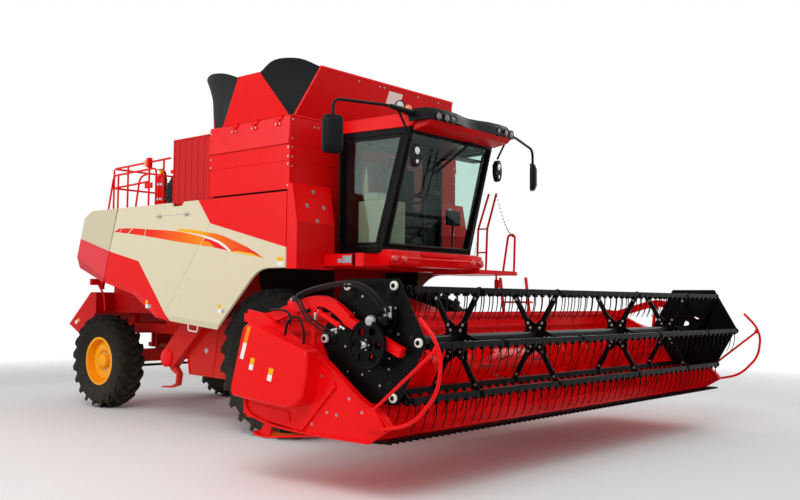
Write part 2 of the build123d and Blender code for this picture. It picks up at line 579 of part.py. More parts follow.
for side_name, side in (("right", -1), ("left", 1)):
    leaf = [cut(side_slab(DOOR_GAP, -CAB_WALL, 0), side_slab(DOOR_GAP + DOOR_FRAME, -CAB_WALL - 5, 5))]
    for v in HINGE_V:
        leaf += [side_rod(v - 9.7, v + 9, 12),
                 side_block((HINGE_U, OPEN_U + 40), (v - 9, v + 9), (1, HINGE_N + 4)),
                 side_block((OPEN_U + 10, OPEN_U + 40), (v - 9, v + 9), (-4, 4))]
    leaf = cut(fuse(leaf), [side_rod(v - 40, v + 40, 6.3) for v in HINGE_V])
    pane = side_slab(DOOR_GAP + DOOR_FRAME + 0.3, -14, -14 + GLASS_T)
    if side > 0:
        leaf, pane = other_side(leaf), other_side(pane)
    add(f"door_{side_name}", leaf)
    add(f"door_glass_{side_name}", pane)

# Cab roof, and the black brow with its lamps, mirror arms and mirrors
roof_plan = [(CAB_REAR_X - 40, -CAB_REAR_HALF_W - 20), (PILLAR_TOP_X + 60, -CAB_FRONT_HALF_W - 25),
             (PILLAR_TOP_X + 60, CAB_FRONT_HALF_W + 25), (CAB_REAR_X - 40, CAB_REAR_HALF_W + 20)]
roof_side = [(CAB_REAR_X - 40, CAB_TOP_Z), (PILLAR_TOP_X, CAB_TOP_Z), (PILLAR_TOP_X + 60, CAB_TOP_Z + 40),
             (PILLAR_TOP_X + 60, CAB_ROOF_Z),
             (CAB_REAR_X - 40, CAB_ROOF_Z - 10)]
add("cab_roof", common(prism(roof_plan, "z", 3200, 3600), prism(roof_side, "y", -1200, 1200)))
brow = prism([(PILLAR_TOP_X + 60, -760), (1600, -745), (1700, -450), (1720, 0), (1700, 450), (1600, 745),
              (PILLAR_TOP_X + 60, 760)], "z", 3345, 3465)
brow_parts = [brow]
for side in (-1, 1):
    arm = bent_tube([(1480, side * 740, 3440), (1420, side * 1150, 3470), (1330, side * 1680, 3380),
                     (1330, side * 1680, 3060)], 16, 60)
    brow_parts += [arm, block((1300, 1360), (side * 1680 - 105, side * 1680 + 105), (2880, 3220))]
    brow_parts.append(block((1395, 1450), (side * 712 - 45, side * 712 + 45), (2930, 3110)))
    brow_parts.append(rod((1420, side * 715, 3100), (1490, side * 735, 3400), 14))
add("cab_brow", fuse(brow_parts))

# Seat, console and steering column inside the cab
seat = [block((560, 800), (-240, 240), (2400, 2510)), block((540, 620), (-230, 230), (2510, 3000)),
        block((570, 780), (-170, 170), (CAB_SILL_Z, 2400))]
add("seat", fuse(seat))
WHEEL_HUB = (960, 0, 2650)
console = [block((560, 930), (-640, -290), (CAB_SILL_Z, 2560)),
           block((800, 960), (-640, 60), (CAB_SILL_Z, CAB_SILL_Z + 20)),
           rod((930, 0, CAB_SILL_Z), (930, 0, 2260), 50), rod((930, 0, 2250), WHEEL_HUB, 28)]
wheel_plane = Plane(origin=WHEEL_HUB, z_dir=Vector(-140, 0, 400))
console += [Solid.make_torus(170, 15, wheel_plane), across(WHEEL_HUB[0], WHEEL_HUB[2], 13, -170, 170)]
add("console", fuse(console))

# Left platform, its rails and the ladder that swings ahead of the tyre
PLATFORM_X = (490, 1200)
PLATFORM_Z = (1800, 1845)
platform = [block(PLATFORM_X, (760, 1550), PLATFORM_Z)]
R2 = 14
platform.append(bent_tube([(600, 1530, 1830), (620, 1530, 2400), (785, 1530, 2845)], R2, 120))
platform.append(bent_tube([(740, 1530, 1830), (760, 1530, 2400), (900, 1530, 2845)], R2, 120))
for z, x in ((2100, 600), (2400, 615)):
    platform.append(rod((x, 1530, z), (x + 150, 1530, z), 10))
platform.append(bent_tube([(1000, 1530, 1830), (1080, 1530, 2300), (1180, 1530, 2320), (1165, 1530, 1830)],
                          R2, 45))
LADDER_AXIS = (860, 1590)
platform.append(block((840, 1190), (1550, 1562), (1800, 1845)))
platform.append(rod((*LADDER_AXIS, 1645), (*LADDER_AXIS, 1845), 12))
platform.append(block((840, 880), (1550, 1600), (1810, 1845)))
add("platform", fuse(platform))
ladder = []
for x in (890, 1270):
    ladder.append(prism([(1600, 1780), (1650, 1780), (1890, 520), (1840, 520)], "x", x, x + 14))
for z in (560, 860, 1160, 1460):
    y = 1600 + (1780 - z) * 240 / 1260
    ladder.append(block((900, 1275), (y - 20, y + 130), (z, z + 24)))
ladder.append(rod((*LADDER_AXIS, 1640), (*LADDER_AXIS, 1755), 24))
ladder.append(block((870, 900), (1580, 1640), (1650, 1750)))
add("ladder", cut(fuse(ladder), rod((*LADDER_AXIS, 1600), (*LADDER_AXIS, 1790), 12.3)))

# Feeder house, from its pivot under the cab to the header's back wall
px, pz = FEEDER_PIVOT
feeder = [prism([(px + 20, 1590), (HEADER_BACK_X, 1180), (HEADER_BACK_X, 690), (px + 20, 1240)], "y", -430,
                430),
          across(px, pz, 190, -430, 430, 40.5)]
EYE = (1150, 800)
for side in (-1, 1):
    for y in (side * 380 - 45, side * 380 + 31):
        feeder.append(prism([(1060, 930), (1260, 850), (1200, 770), (1110, 770)], "y", y, y + 14))
    feeder.append(across(*EYE, 10, side * 380 - 45, side * 380 + 45))
solid_feeder = cut(fuse(feeder), across(px, pz, 40.5, -440, 440))
add("feeder_house", solid_feeder)

# Header lift cylinders
run = hypot(EYE[0] - CYL_BASE[0], EYE[1] - CYL_BASE[1])
way = ((EYE[0] - CYL_BASE[0]) / run, (EYE[1] - CYL_BASE[1]) / run)


def along(base, way, s, y):
    return (base[0] + way[0] * s, y, base[1] + way[1] * s)


BARREL_LEN = 690
barrels, rods = [], []
for side in (-1, 1):
    y = side * 380
    ring = across(*CYL_BASE, 30, y - 25, y + 25, 14.3)
    tube = rod(along(CYL_BASE, way, 80, y), along(CYL_BASE, way, BARREL_LEN, y), 42)
    tube = fuse([tube, rod(along(CYL_BASE, way, 24, y), along(CYL_BASE, way, 90, y), 24)])
    tube = cut(tube, [rod(along(CYL_BASE, way, 110, y), along(CYL_BASE, way, BARREL_LEN + 5, y), 26),
                      across(*CYL_BASE, 14.3, y - 30, y + 30)])
    barrels.append(fuse([ring, tube]))
    shaft = rod(along(CYL_BASE, way, BARREL_LEN - 360, y), along(CYL_BASE, way, run - 30, y), 25.7)
    eye = across(*EYE, 34, y - 25, y + 25)
    rods.append(cut(fuse([shaft, eye]), across(*EYE, 24, y - 30, y + 30)))
add("lift_barrels", *barrels)
add("lift_rods", *rods)

# Header table: back wall, floor pan, end sheets and beams
H = HEADER_HALF_W
table = []
table.append(block((HEADER_BACK_X, HEADER_BACK_X + 12), (-H, H), (540, HEADER_TOP_Z)))
pan = [(HEADER_BACK_X + 6, 552), (1760, 520), (2020, 505), (2330, PAN_Z), (2960, PAN_Z), (2960, PAN_Z - 10),
       (2330, PAN_Z - 10),
       (2020, 495), (1755, 508), (HEADER_BACK_X + 6, 540)]
table.append(prism(pan, "y", -H, H))
table.append(block((HEADER_BACK_X - 70, HEADER_BACK_X + 6), (-H, H), (HEADER_TOP_Z - 70, HEADER_TOP_Z)))
table.append(block((HEADER_BACK_X - 60, HEADER_BACK_X + 40), (-H, H), (540, 620)))
for y in (-2400, -1500, -700, 700, 1500, 2400):
    table.append(block((HEADER_BACK_X - 50, HEADER_BACK_X + 12), (y - 30, y + 30),
                       (560, HEADER_TOP_Z - 10)))
END = [(HEADER_BACK_X - 20, HEADER_TOP_Z + 30), (1760, 1370), (2604, 959), (2979, 681), (3148, 555),
       (2960, PAN_Z - 10),
       (2330, PAN_Z - 10), (1984, 495), (HEADER_BACK_X - 20, 520)]
for side in (-1, 1):
    table.append(prism(END, "y", *sorted((side * (H - 14), side * (H + 6)))))
    bracket = prism([(1640, 1330), (1900, 1290), (1830, 1375), (1720, 1375)], "y",
                    *sorted((side * (ARM_Y - 60), side * (ARM_Y - 40))))
    table.append(bracket)
    table.append(across(*ARM_ROOT, 20, *sorted((side * (ARM_Y - 60), side * (H - 14)))))
    table.append(across(*REEL_BASE, 11, *sorted((side * (ARM_Y - 14), side * (H - 14)))))
table_solid = cut(fuse(table), block((HEADER_BACK_X - 5, HEADER_BACK_X + 60), (-425, 425), (700, 1170)))
add("header_table", table_solid)

# Covers and crop dividers on both header ends
cover = [(1700, 1300), (2330, 1100), (2290, 690), (2120, 630), (1510, 700), (1545, 1290)]
covers = [prism(cover, "y", *sorted((side * (H + 6), side * (H + 150)))) for side in (-1, 1)]
for side in (-1, 1):
    y = side * (H + 30)
    loop = bent_tube([(3100, y, 560), (3380, y, 640), (3625, y, 960), (3600, y, 1230), (3440, y, 1357)], 13,
                     110)
    brace = rod((3000, y, 680), (3590, y, 1150), 11)
    foot = block((2960, 3110), sorted((side * (H + 6), side * (H + 42))), (545, 700))
    covers.append(fuse([loop, brace, foot]))
add("header_covers", *covers)

# Cutter bar with its guards
GUARD_PITCH = 76.2
guards = [block((KNIFE_X - 80, KNIFE_X), (-H + 20, H - 20), (PAN_Z - 10, PAN_Z + 6))]
count = int((2 * H - 80) / GUARD_PITCH)
for i in range(count + 1):
    y = (i - count / 2) * GUARD_PITCH
    tip = [(KNIFE_X - 20, y - 14), (KNIFE_X + 60, y - 9), (KNIFE_X + 95, y), (KNIFE_X + 60, y + 9),
           (KNIFE_X - 20, y + 14)]
    guards.append(prism(tip, "z", PAN_Z - 8, PAN_Z + 12))
add("cutter_bar", fuse(guards))

# Header auger: a tube with flights that carry the crop to the middle
ax, az = HEADER_AUGER
auger = [across(ax, az, AUGER_TUBE_R, -H + 40, H - 40), across(ax, az, 30, -H + 14.3, H - 14.3)]
for side in (-1, 1):
    for i in range(int((H - 600) / 280) + 1):
        y = side * (560 + i * 280)
        auger.append(across(ax, az, AUGER_FLIGHT_R, y - 4, y + 4))
add("header_auger", fuse(auger))

# Reel arms, with their pivots at the back wall
arms = []
for side in (-1, 1):
    low, high = side * ARM_Y - ARM_W / 2, side * ARM_Y + ARM_W / 2
    arms += [bar(ARM_ROOT, (2270, 1467), low, high, ARM_H), bar((2240, 1462), ARM_ELBOW, low, high, ARM_H),
             bar((ARM_ELBOW[0] - 20, ARM_ELBOW[1]), ARM_KNEE, low, high, ARM_H),
             bar((2715, 1313), ARM_TIP, low, high, ARM_H),
             across(*ARM_ROOT, 50, low, high)]
arms.append(block((2030, 2140), (-ARM_Y - 22, -ARM_Y + 22), (1400, HOSE_FOOT_Z)))
arm_solid = cut(fuse(arms), [across(*ARM_ROOT, 20.3, side * ARM_Y - 60, side * ARM_Y + 60) for side in (-1,
                                                                                                        1)])
lugs = [arm_solid]
for side in (-1, 1):
    for y in (side * ARM_Y - 25, side * ARM_Y + 15):
        lugs.append(prism([(2290, 1450), (2380, 1460), (2360, 1380), (2310, 1380)], "y", y, y + 10))
    lugs.append(across(*REEL_EYE, 9, side * ARM_Y - 25, side * ARM_Y + 25))
add("reel_arms", fuse(lugs))

# Reel lift cylinders stand on the end sheets, under the arms
reel_run = hypot(REEL_EYE[0] - REEL_BASE[0], REEL_EYE[1] - REEL_BASE[1])
reel_way = ((REEL_EYE[0] - REEL_BASE[0]) / reel_run, (REEL_EYE[1] - REEL_BASE[1]) / reel_run)
REEL_BARREL_LEN = 340
reel_barrels, reel_rods = [], []
for side in (-1, 1):
    y = side * ARM_Y
    ring = across(*REEL_BASE, 22, y - 12, y + 12)
    tube = rod(along(REEL_BASE, reel_way, 15, y), along(REEL_BASE, reel_way, REEL_BARREL_LEN, y), 22)
    tools = [rod(along(REEL_BASE, reel_way, 60, y), along(REEL_BASE, reel_way, REEL_BARREL_LEN + 5, y), 13),
             across(*REEL_BASE, 11.3, y - 30, y + 30)]
    reel_barrels.append(cut(fuse([ring, tube]), tools))
    shaft = rod(along(REEL_BASE, reel_way, 80, y), along(REEL_BASE, reel_way, reel_run - 20, y), 12.7)
    eye = across(*REEL_EYE, 24, y - 10, y + 10)
    reel_rods.append(cut(fuse([shaft, eye]), across(*REEL_EYE, 15, y - 30, y + 30)))
add("reel_lift_barrels", *reel_barrels)
add("reel_lift_rods", *reel_rods)

# Reel carriages slide along the arms and carry the reel shaft and the control plates' rollers
arm_run = hypot(ARM_TIP[0] - ARM_KNEE[0], ARM_TIP[1] - ARM_KNEE[1])
ARM_WAY = ((ARM_TIP[0] - ARM_KNEE[0]) / arm_run, (ARM_TIP[1] - ARM_KNEE[1]) / arm_run)
seat_s = (REEL_AXIS[0] - ARM_KNEE[0]) * ARM_WAY[0] + (REEL_AXIS[1] - ARM_KNEE[1]) * ARM_WAY[1]
SHAFT_R = 20
carriages = []
for side in (-1, 1):
    a = along(ARM_KNEE, ARM_WAY, seat_s - 60, 0)
    b = along(ARM_KNEE, ARM_WAY, seat_s + 60, 0)
    y0, y1 = sorted((side * ARM_Y - 34, side * ARM_Y + 34))
    outer = bar((a[0], a[2]), (b[0], b[2]), y0, y1, ARM_H + 22)
    inner = bar((a[0] - 20, a[2] + 8), (b[0] + 20, b[2] - 8), side * ARM_Y - ARM_W / 2 - 1,
                side * ARM_Y + ARM_W / 2 + 1, ARM_H + 2)
    housing = across(*REEL_AXIS, 62, y0, y1)
    sleeve = cut(fuse([outer, housing]), [inner, across(*REEL_AXIS, SHAFT_R + 0.3, y0 - 5, y1 + 5)])
    carriages.append(sleeve)
bracket = prism([(2850, 1110), (2840, 1300), (2870, 1410), (3000, 1450), (3140, 1400), (3130, 1300),
                 (3010, 1110)], "y",
                -ARM_Y + 31, -ARM_Y + 39)
MOTOR = (2960, 1330)
motor = [cut(bracket, across(*REEL_AXIS, SHAFT_R + 0.3, -ARM_Y, -PLATE_Y)),
         across(*MOTOR, 50, -ARM_Y - 43, -ARM_Y + 39)]
PORT_R = 16
PORTS = ((3100, 1350), (3052, 1338))
motor += [across(*port, PORT_R, -ARM_Y - 12, -ARM_Y + 39) for port in PORTS]
carriages[0] = fuse([carriages[0]] + motor)
add("reel_carriage", *carriages)

HOSE_R = 11
HOSE_TOPS = [(2160, 35, 1520), (2290, 68, 1552), (2430, 84, 1580), (2580, 90, 1602), (2730, 92, 1615),
             (2870, 90, 1608),
             (2985, 84, 1560), (3065, 66, 1485), (3102, 34, 1425)]


def hose(points):
    """Hose whose bends are as wide as its runs allow."""
    line = [Vector(*p) for p in points]
    radii = []
    for a, b, c in zip(line, line[1:], line[2:]):
        turn = radians((b - a).get_angle(c - b))
        radii.append(0.45 * min((b - a).length, (c - b).length) / tan(turn / 2))
    path = FilletPolyline(*line, radius=radii)
    start = Plane(origin=path @ 0, z_dir=path % 0)
    return sweep(start * Circle(HOSE_R), path=Wire(path.edges()))


hoses = []
for back, inboard, drop, port in ((0, 0, 0, PORTS[0]), (48, 30, 24, PORTS[1])):
    line = [(2110 - back, -ARM_Y, HOSE_FOOT_Z + 0.3), (2110 - back, -ARM_Y, HOSE_FOOT_Z + 26 - drop / 6)]
    line += [(x - back, -ARM_Y - out + inboard * out / 90, z - drop) for x, out, z in HOSE_TOPS]
    line += [(port[0], -ARM_Y, port[1] + PORT_R + 30), (port[0], -ARM_Y, port[1] + PORT_R + 0.3)]
    hoses.append(hose(line))
add("reel_hoses", *hoses)

# Reel core: the shaft, the centre tube, the spiders that carry the bats, and the drive sprocket
TUBE_R = 55
SPIDER_Y = (-2000, -790, 790, 2000)
sx, sz = REEL_AXIS
core = [across(sx, sz, SHAFT_R, -ARM_Y - 75, ARM_Y + 60), across(sx, sz, TUBE_R, -REEL_HALF_W, REEL_HALF_W)]
BAT_ANGLES = [i * 360 / BATS for i in range(BATS)]
PIN_R = 14


def reel_point(angle, radius=REEL_R, centre=REEL_AXIS):
    return centre[0] + radius * cos(radians(angle)), centre[1] + radius * sin(radians(angle))


for y in SPIDER_Y + (-REEL_HALF_W + 8, REEL_HALF_W - 8):
    core.append(across(sx, sz, 95, y - 5, y + 5))
    for angle in BAT_ANGLES:
        p = reel_point(angle)
        core.append(bar(REEL_AXIS, reel_point(angle, REEL_R - 30), y - 5, y + 5, 46))
        core.append(across(*p, 34, y - 5, y + 5))
core_solid = cut(fuse(core), [across(*reel_point(angle), PIN_R + 0.3, -REEL_HALF_W - 20,
                                     REEL_HALF_W + 20) for angle in BAT_ANGLES])
sprocket = cut(across(sx, sz, 176, -ARM_Y - 70, -ARM_Y - 50),
               [across(*reel_point(a, 108), 30, -ARM_Y - 75, -ARM_Y - 45) for a in BAT_ANGLES] + [across(sx,
                                                                                                         sz,
                                                                                                         SHAFT_R, -ARM_Y - 75, -ARM_Y - 45)])
add("reel_core", fuse([core_solid, sprocket]))

# Control plates turn beside the reel about an offset axis and keep the bats upright
plate_axis = (REEL_AXIS[0] + REEL_OFFSET[0], REEL_AXIS[1] + REEL_OFFSET[1])
plates = []
for side in (-1, 1):
    y0, y1 = sorted((side * (PLATE_Y - 4), side * (PLATE_Y + 4)))
    hexagon = [reel_point(a + 0, REEL_R + 62, plate_axis) for a in BAT_ANGLES]
    plate = prism(hexagon, "y", y0, y1)
    tools = [across(*plate_axis, 130, y0 - 5, y1 + 5)]
    tools += [across(*reel_point(a, REEL_R, plate_axis), 9.3, y0 - 5, y1 + 5) for a in BAT_ANGLES]
    plates.append(cut(plate, tools))
add("reel_controls", *plates)

# Bats: a tube with cranks at both ends and tines that hang straight down
TINE = (10, 16)
for i, angle in enumerate(BAT_ANGLES):
    bx, bz = reel_point(angle)
    cx, cz = bx + REEL_OFFSET[0], bz + REEL_OFFSET[1]
    end = REEL_HALF_W - 40
    bat = [across(bx, bz, PIN_R, -REEL_HALF_W - 8, REEL_HALF_W + 8)]
    edges = [-end] + [y + s * 12 for y in SPIDER_Y for s in (-1, 1)] + [end]
    for y0, y1 in zip(edges[::2], edges[1::2]):
        bat.append(across(bx, bz, 24, y0, y1))
        count = int((y1 - y0 - 60) / TINE_PITCH)
        for k in range(count + 1):
            y = (y0 + y1) / 2 + (k - count / 2) * TINE_PITCH
            ring = [(bx - 14, bz), (bx + 14, bz), (bx + 6, bz - TINE_LEN), (bx - 2, bz - TINE_LEN)]
            bat.append(prism(ring, "y", y - 4, y + 4))
    for side in (-1, 1):
        y0, y1 = sorted((side * (REEL_HALF_W + 8), side * (REEL_HALF_W + 22)))
        bat.append(bar((bx, bz), (cx, cz), y0, y1, 30))
        bat.append(across(bx, bz, 20, y0, y1))
        bat.append(across(cx, cz, 15, y0, y1))
        bat.append(across(cx, cz, 9, *sorted((side * (REEL_HALF_W + 14), side * (PLATE_Y + 12)))))
    add(f"reel_bat_{i + 1}", fuse(bat))

# Place the machine: the origin goes to the middle of its box, on the ground
whole_box = Compound(solids_in([Compound(solids) for solids in NODES.values()])).bounding_box()
SHIFT_X = -(whole_box.min.X + whole_box.max.X) / 2
for name, solids in NODES.items():
    export_step(Compound(solids).moved(Pos(SHIFT_X, 0, 0)), f"parts/{name}.step")
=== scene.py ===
"""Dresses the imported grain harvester: finishes, lamps, hoses and small parts, floor, light and camera.

Lengths are metres. P(x, y, z) places a point by its distance ahead of the front axle, its distance
to the driver's left of the middle, and its height above the ground.
"""
import json
import math

import bmesh
import bpy
from bpy.props import FloatProperty, FloatVectorProperty, IntProperty
from mathutils import Matrix, Vector


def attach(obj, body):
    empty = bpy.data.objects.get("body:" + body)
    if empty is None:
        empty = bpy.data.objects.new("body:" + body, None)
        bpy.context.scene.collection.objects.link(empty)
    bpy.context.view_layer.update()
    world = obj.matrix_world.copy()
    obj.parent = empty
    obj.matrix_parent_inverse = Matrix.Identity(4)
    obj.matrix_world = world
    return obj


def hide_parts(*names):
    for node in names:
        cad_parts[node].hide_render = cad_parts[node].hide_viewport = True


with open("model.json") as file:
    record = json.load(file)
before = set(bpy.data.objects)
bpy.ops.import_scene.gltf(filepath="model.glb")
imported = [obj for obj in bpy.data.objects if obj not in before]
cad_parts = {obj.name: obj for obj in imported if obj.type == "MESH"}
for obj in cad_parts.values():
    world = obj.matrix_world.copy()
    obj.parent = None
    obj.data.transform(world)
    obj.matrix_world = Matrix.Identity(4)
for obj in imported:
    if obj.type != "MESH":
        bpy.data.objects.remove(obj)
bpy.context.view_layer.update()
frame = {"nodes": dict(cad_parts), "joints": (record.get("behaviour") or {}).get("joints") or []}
JOINTS = {joint["name"]: joint for joint in frame["joints"]}
AXLE_X = JOINTS["right_front_wheel_spin"]["pos_m"][0]

bl_info = {
    "name": "Grain harvester dressing",
    "version": (1, 0, 0),
    "blender": (4, 5, 0),
    "location": "View3D > Sidebar > Harvester",
    "description": "Finishes, small parts, light and camera for the packed grain harvester",
    "category": "Object",
}


# Helpers
def P(x, y, z):
    """Point by distance ahead of the front axle, to the left of the middle and above the ground."""
    return Vector((x + AXLE_X, y, z))


def linear(code):
    """sRGB hex text such as "#E2231A" as a linear colour."""
    channels = [int(code[i:i + 2], 16) / 255 for i in (1, 3, 5)]
    return tuple(c / 12.92 if c <= 0.04045 else ((c + 0.055) / 1.055) ** 2.4 for c in channels)


def rgba(colour):
    return (*tuple(colour)[:3], 1.0)


def add_node(tree, kind, links=(), **settings):
    """Add a node, set its inputs by name or number and its plain properties, and join its links.

    A link is (input of the new node, output socket of another node)."""
    new = tree.nodes.new(kind)
    for key, value in settings.items():
        if key.startswith("in_"):
            name = key[3:]
            socket = new.inputs[int(name)] if name.isdigit() else new.inputs[name.replace("_", " ")]
            socket.default_value = value
        else:
            setattr(new, key, value)
    for name, source in links:
        tree.links.new(source, new.inputs[name])
    return new


def maths(tree, operation, a, b=0.0):
    """Output of a Math node on two sockets or numbers."""
    new = add_node(tree, "ShaderNodeMath", operation=operation)
    for i, value in enumerate((a, b)):
        if isinstance(value, (int, float)):
            new.inputs[i].default_value = value
        else:
            tree.links.new(value, new.inputs[i])
    return new.outputs[0]


def noise(tree, place, scale, detail, **settings):
    """Output of a noise texture on object coordinates."""
    return add_node(tree, "ShaderNodeTexNoise", [("Vector", place)], in_Scale=scale, in_Detail=detail,
                    **settings).outputs["Fac"]


def coordinates(tree):
    """Object coordinates, whole and as their X, Y and Z outputs."""
    place = add_node(tree, "ShaderNodeTexCoord").outputs["Object"]
    return place, add_node(tree, "ShaderNodeSeparateXYZ", [("Vector", place)]).outputs


def new_material(name, colour):
    """Material that shows a colour, with its node tree and its shader."""
    made = bpy.data.materials.new(name)
    made.use_nodes = True
    made.diffuse_color = rgba(colour)
    shader = made.node_tree.nodes["Principled BSDF"]
    shader.inputs["Base Color"].default_value = rgba(colour)
    return made, made.node_tree, shader


def object_of(name, mesh, material, body):
    """Put a mesh in the scene as a finished piece that rides on a body."""
    piece = bpy.data.objects.new(name, mesh)
    bpy.context.scene.collection.objects.link(piece)
    if material is not None:
        for one in (material if isinstance(material, (list, tuple)) else [material]):
            mesh.materials.append(one)
    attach(piece, body)
    return piece


def mesh_from(bm, name, smooth=None):
    """Close a bmesh into a mesh with outward faces; edges under the angle smooth, in degrees, look round."""
    bmesh.ops.remove_doubles(bm, verts=bm.verts, dist=1e-5)
    bmesh.ops.recalc_face_normals(bm, faces=bm.faces)
    if smooth is not None:
        for face in bm.faces:
            face.smooth = True
        for edge in bm.edges:
            edge.smooth = len(edge.link_faces) == 2 and edge.calc_face_angle(0) < math.radians(smooth)
    mesh = bpy.data.meshes.new(name)
    bm.to_mesh(mesh)
    bm.free()
    return mesh


def piece(bm, name, key, body, smooth=None):
    """Finish a bmesh as a piece with one finish on a body."""
    return object_of(name, mesh_from(bm, name, smooth), MAT[key], body)


def lone(name, key, body, smooth, add, *form):
    """Piece of one form, such as a box or a tube, added by the function given."""
    bm = bmesh.new()
    add(bm, *form)
    return piece(bm, name, key, body, smooth)


def bridge(bm, rows, index=0):
    """Join closed rows of vertices by bands of faces and close both ends."""
    faces = [bm.faces.new(rows[0][::-1]), bm.faces.new(rows[-1])]
    for a, b in zip(rows, rows[1:]):
        for k in range(len(a)):
            n = (k + 1) % len(a)
            faces.append(bm.faces.new((a[k], a[n], b[n], b[k])))
    for face in faces:
        face.material_index = index
    return faces


def add_prism(bm, ring, push, index=0):
    """Closed outline pushed along a vector."""
    return bridge(bm, [[bm.verts.new(p + move) for p in ring] for move in (Vector(), push)], index)


def add_lathe(bm, profile, centre, axis, steps=32, closed=False, index=0):
    """Turn (distance along the axis, radius) points about an axis through centre."""
    axis = Vector(axis).normalized()
    side = axis.orthogonal().normalized()
    other = axis.cross(side)
    rings = []
    for s, r in profile:
        base = Vector(centre) + axis * s
        if r < 1e-6:
            rings.append([bm.verts.new(base)])
            continue
        turn = [2 * math.pi * k / steps for k in range(steps)]
        rings.append([bm.verts.new(base + (side * math.cos(t) + other * math.sin(t)) * r) for t in turn])
    pairs = list(zip(rings, rings[1:])) + ([(rings[-1], rings[0])] if closed else [])
    for a, b in pairs:
        for k in range(steps):
            n = (k + 1) % steps
            corners = [a[k % len(a)], a[n % len(a)], b[n % len(b)], b[k % len(b)]]
            unique = list(dict.fromkeys(corners))
            if len(unique) > 2:
                bm.faces.new(unique).material_index = index


def smooth_line(points, rounding=6):
    """Points along a Catmull-Rom line through the given ones."""
    pts = [Vector(p) for p in points]
    pts = [pts[0] * 2 - pts[1]] + pts + [pts[-1] * 2 - pts[-2]]
    out = []
    for a, b, c, d in zip(pts, pts[1:], pts[2:], pts[3:]):
        for k in range(rounding):
            t = k / rounding
            out.append(0.5 * (2 * b + (c - a) * t + (2 * a - 5 * b + 4 * c - d) * t * t
                              + (3 * b - a - 3 * c + d) * t ** 3))
    return out + [pts[-2]]


def add_tube(bm, points, radius, steps=12, index=0):
    """Round tube of one radius, or of a radius for each point, along a line of points."""
    pts = [Vector(p) for p in points]
    radii = radius if isinstance(radius, (list, tuple)) else [radius] * len(pts)
    normal = (pts[1] - pts[0]).orthogonal().normalized()
    rings = []
    for i, p in enumerate(pts):
        way = (pts[min(i + 1, len(pts) - 1)] - pts[max(i - 1, 0)]).normalized()
        normal = (normal - way * normal.dot(way)).normalized()
        other = way.cross(normal)
        turn = [2 * math.pi * k / steps for k in range(steps)]
        rings.append([bm.verts.new(p + (normal * math.cos(t) + other * math.sin(t)) * radii[i])
                      for t in turn])
    bridge(bm, rings, index)


def add_box(bm, low, high, bevel=0.0, index=0):
    """Box between two corners, with its edges rounded by bevel."""
    (x0, y0, z0), (x1, y1, z1) = low, high
    ring = [Vector((x0, y0, z0)), Vector((x1, y0, z0)), Vector((x1, y1, z0)), Vector((x0, y1, z0))]
    faces = add_prism(bm, ring, Vector((0, 0, z1 - z0)), index)
    if bevel:
        edges = {edge for face in faces for edge in face.edges}
        bmesh.ops.bevel(bm, geom=list(edges), offset=bevel, segments=2, affect="EDGES", profile=0.5)


def side_box(bm, side, xs, ys, zs, bevel=0.0, index=0):
    """Box on one side of the machine; ys are distances out from its middle."""
    near, far = sorted(side * y for y in ys)
    add_box(bm, P(xs[0], near, zs[0]), P(xs[1], far, zs[1]), bevel, index)


def rounded(ring, radius, steps=4):
    """Outline with its corners rounded; points are 2-D or 3-D vectors."""
    out = []
    count = len(ring)
    for i, corner in enumerate(ring):
        before, after = ring[i - 1], ring[(i + 1) % count]
        a, b = (before - corner), (after - corner)
        reach = min(radius, a.length * 0.45, b.length * 0.45)
        start, end = corner + a.normalized() * reach, corner + b.normalized() * reach
        for k in range(steps + 1):
            t = k / steps
            out.append(start * (1 - t) ** 2 + corner * 2 * t * (1 - t) + end * t * t)
    return out


def inset_ring(ring, amounts):
    """Outline of (a, b) points, in either order, with each edge moved inward by its amount."""
    area = sum(p[0] * q[1] - q[0] * p[1] for p, q in zip(ring, ring[1:] + ring[:1]))
    turn = 1 if area > 0 else -1
    lines = []
    for (xa, ya), (xb, yb), move in zip(ring, ring[1:] + ring[:1], amounts):
        run = math.hypot(xb - xa, yb - ya)
        ux, uy = (xb - xa) / run, (yb - ya) / run
        lines.append((xa - uy * move * turn, ya + ux * move * turn, ux, uy))
    out = []
    for i, (x2, y2, u2, v2) in enumerate(lines):
        x1, y1, u1, v1 = lines[i - 1]
        across = u1 * v2 - v1 * u2
        if abs(across) < 1e-6:
            out.append((x2, y2))
            continue
        t = ((x2 - x1) * v2 - (y2 - y1) * u2) / across
        out.append((x1 + u1 * t, y1 + v1 * t))
    return out


def add_panel(bm, ring, amounts, place, fold, depth, index=0):
    """Pressed sheet: a flat face, edges folded back over their amounts, and square sides down to the depth.

    place(a, b, d) gives the point at depth d behind the face."""
    rows = []
    for outline, d in ((inset_ring(ring, amounts), 0), (ring, fold), (ring, depth)):
        rows.append([bm.verts.new(place(a, b, d)) for a, b in outline])
    bridge(bm, rows, index)


def thick_line(points, width):
    """Outline of a band of one width along (a, b) points."""
    pts = [Vector(p) for p in points]
    left, right = [], []
    for i, p in enumerate(pts):
        way = (pts[min(i + 1, len(pts) - 1)] - pts[max(i - 1, 0)]).normalized()
        normal = Vector((-way.y, way.x))
        left.append(tuple(p + normal * width / 2))
        right.append(tuple(p - normal * width / 2))
    return left + right[::-1]


def smooth_band(points, width, rounding=4):
    """Outline of a band of one width along a smooth line through (a, b) points."""
    return thick_line([tuple(v)[:2] for v in smooth_line([(a, b, 0) for a, b in points], rounding)], width)


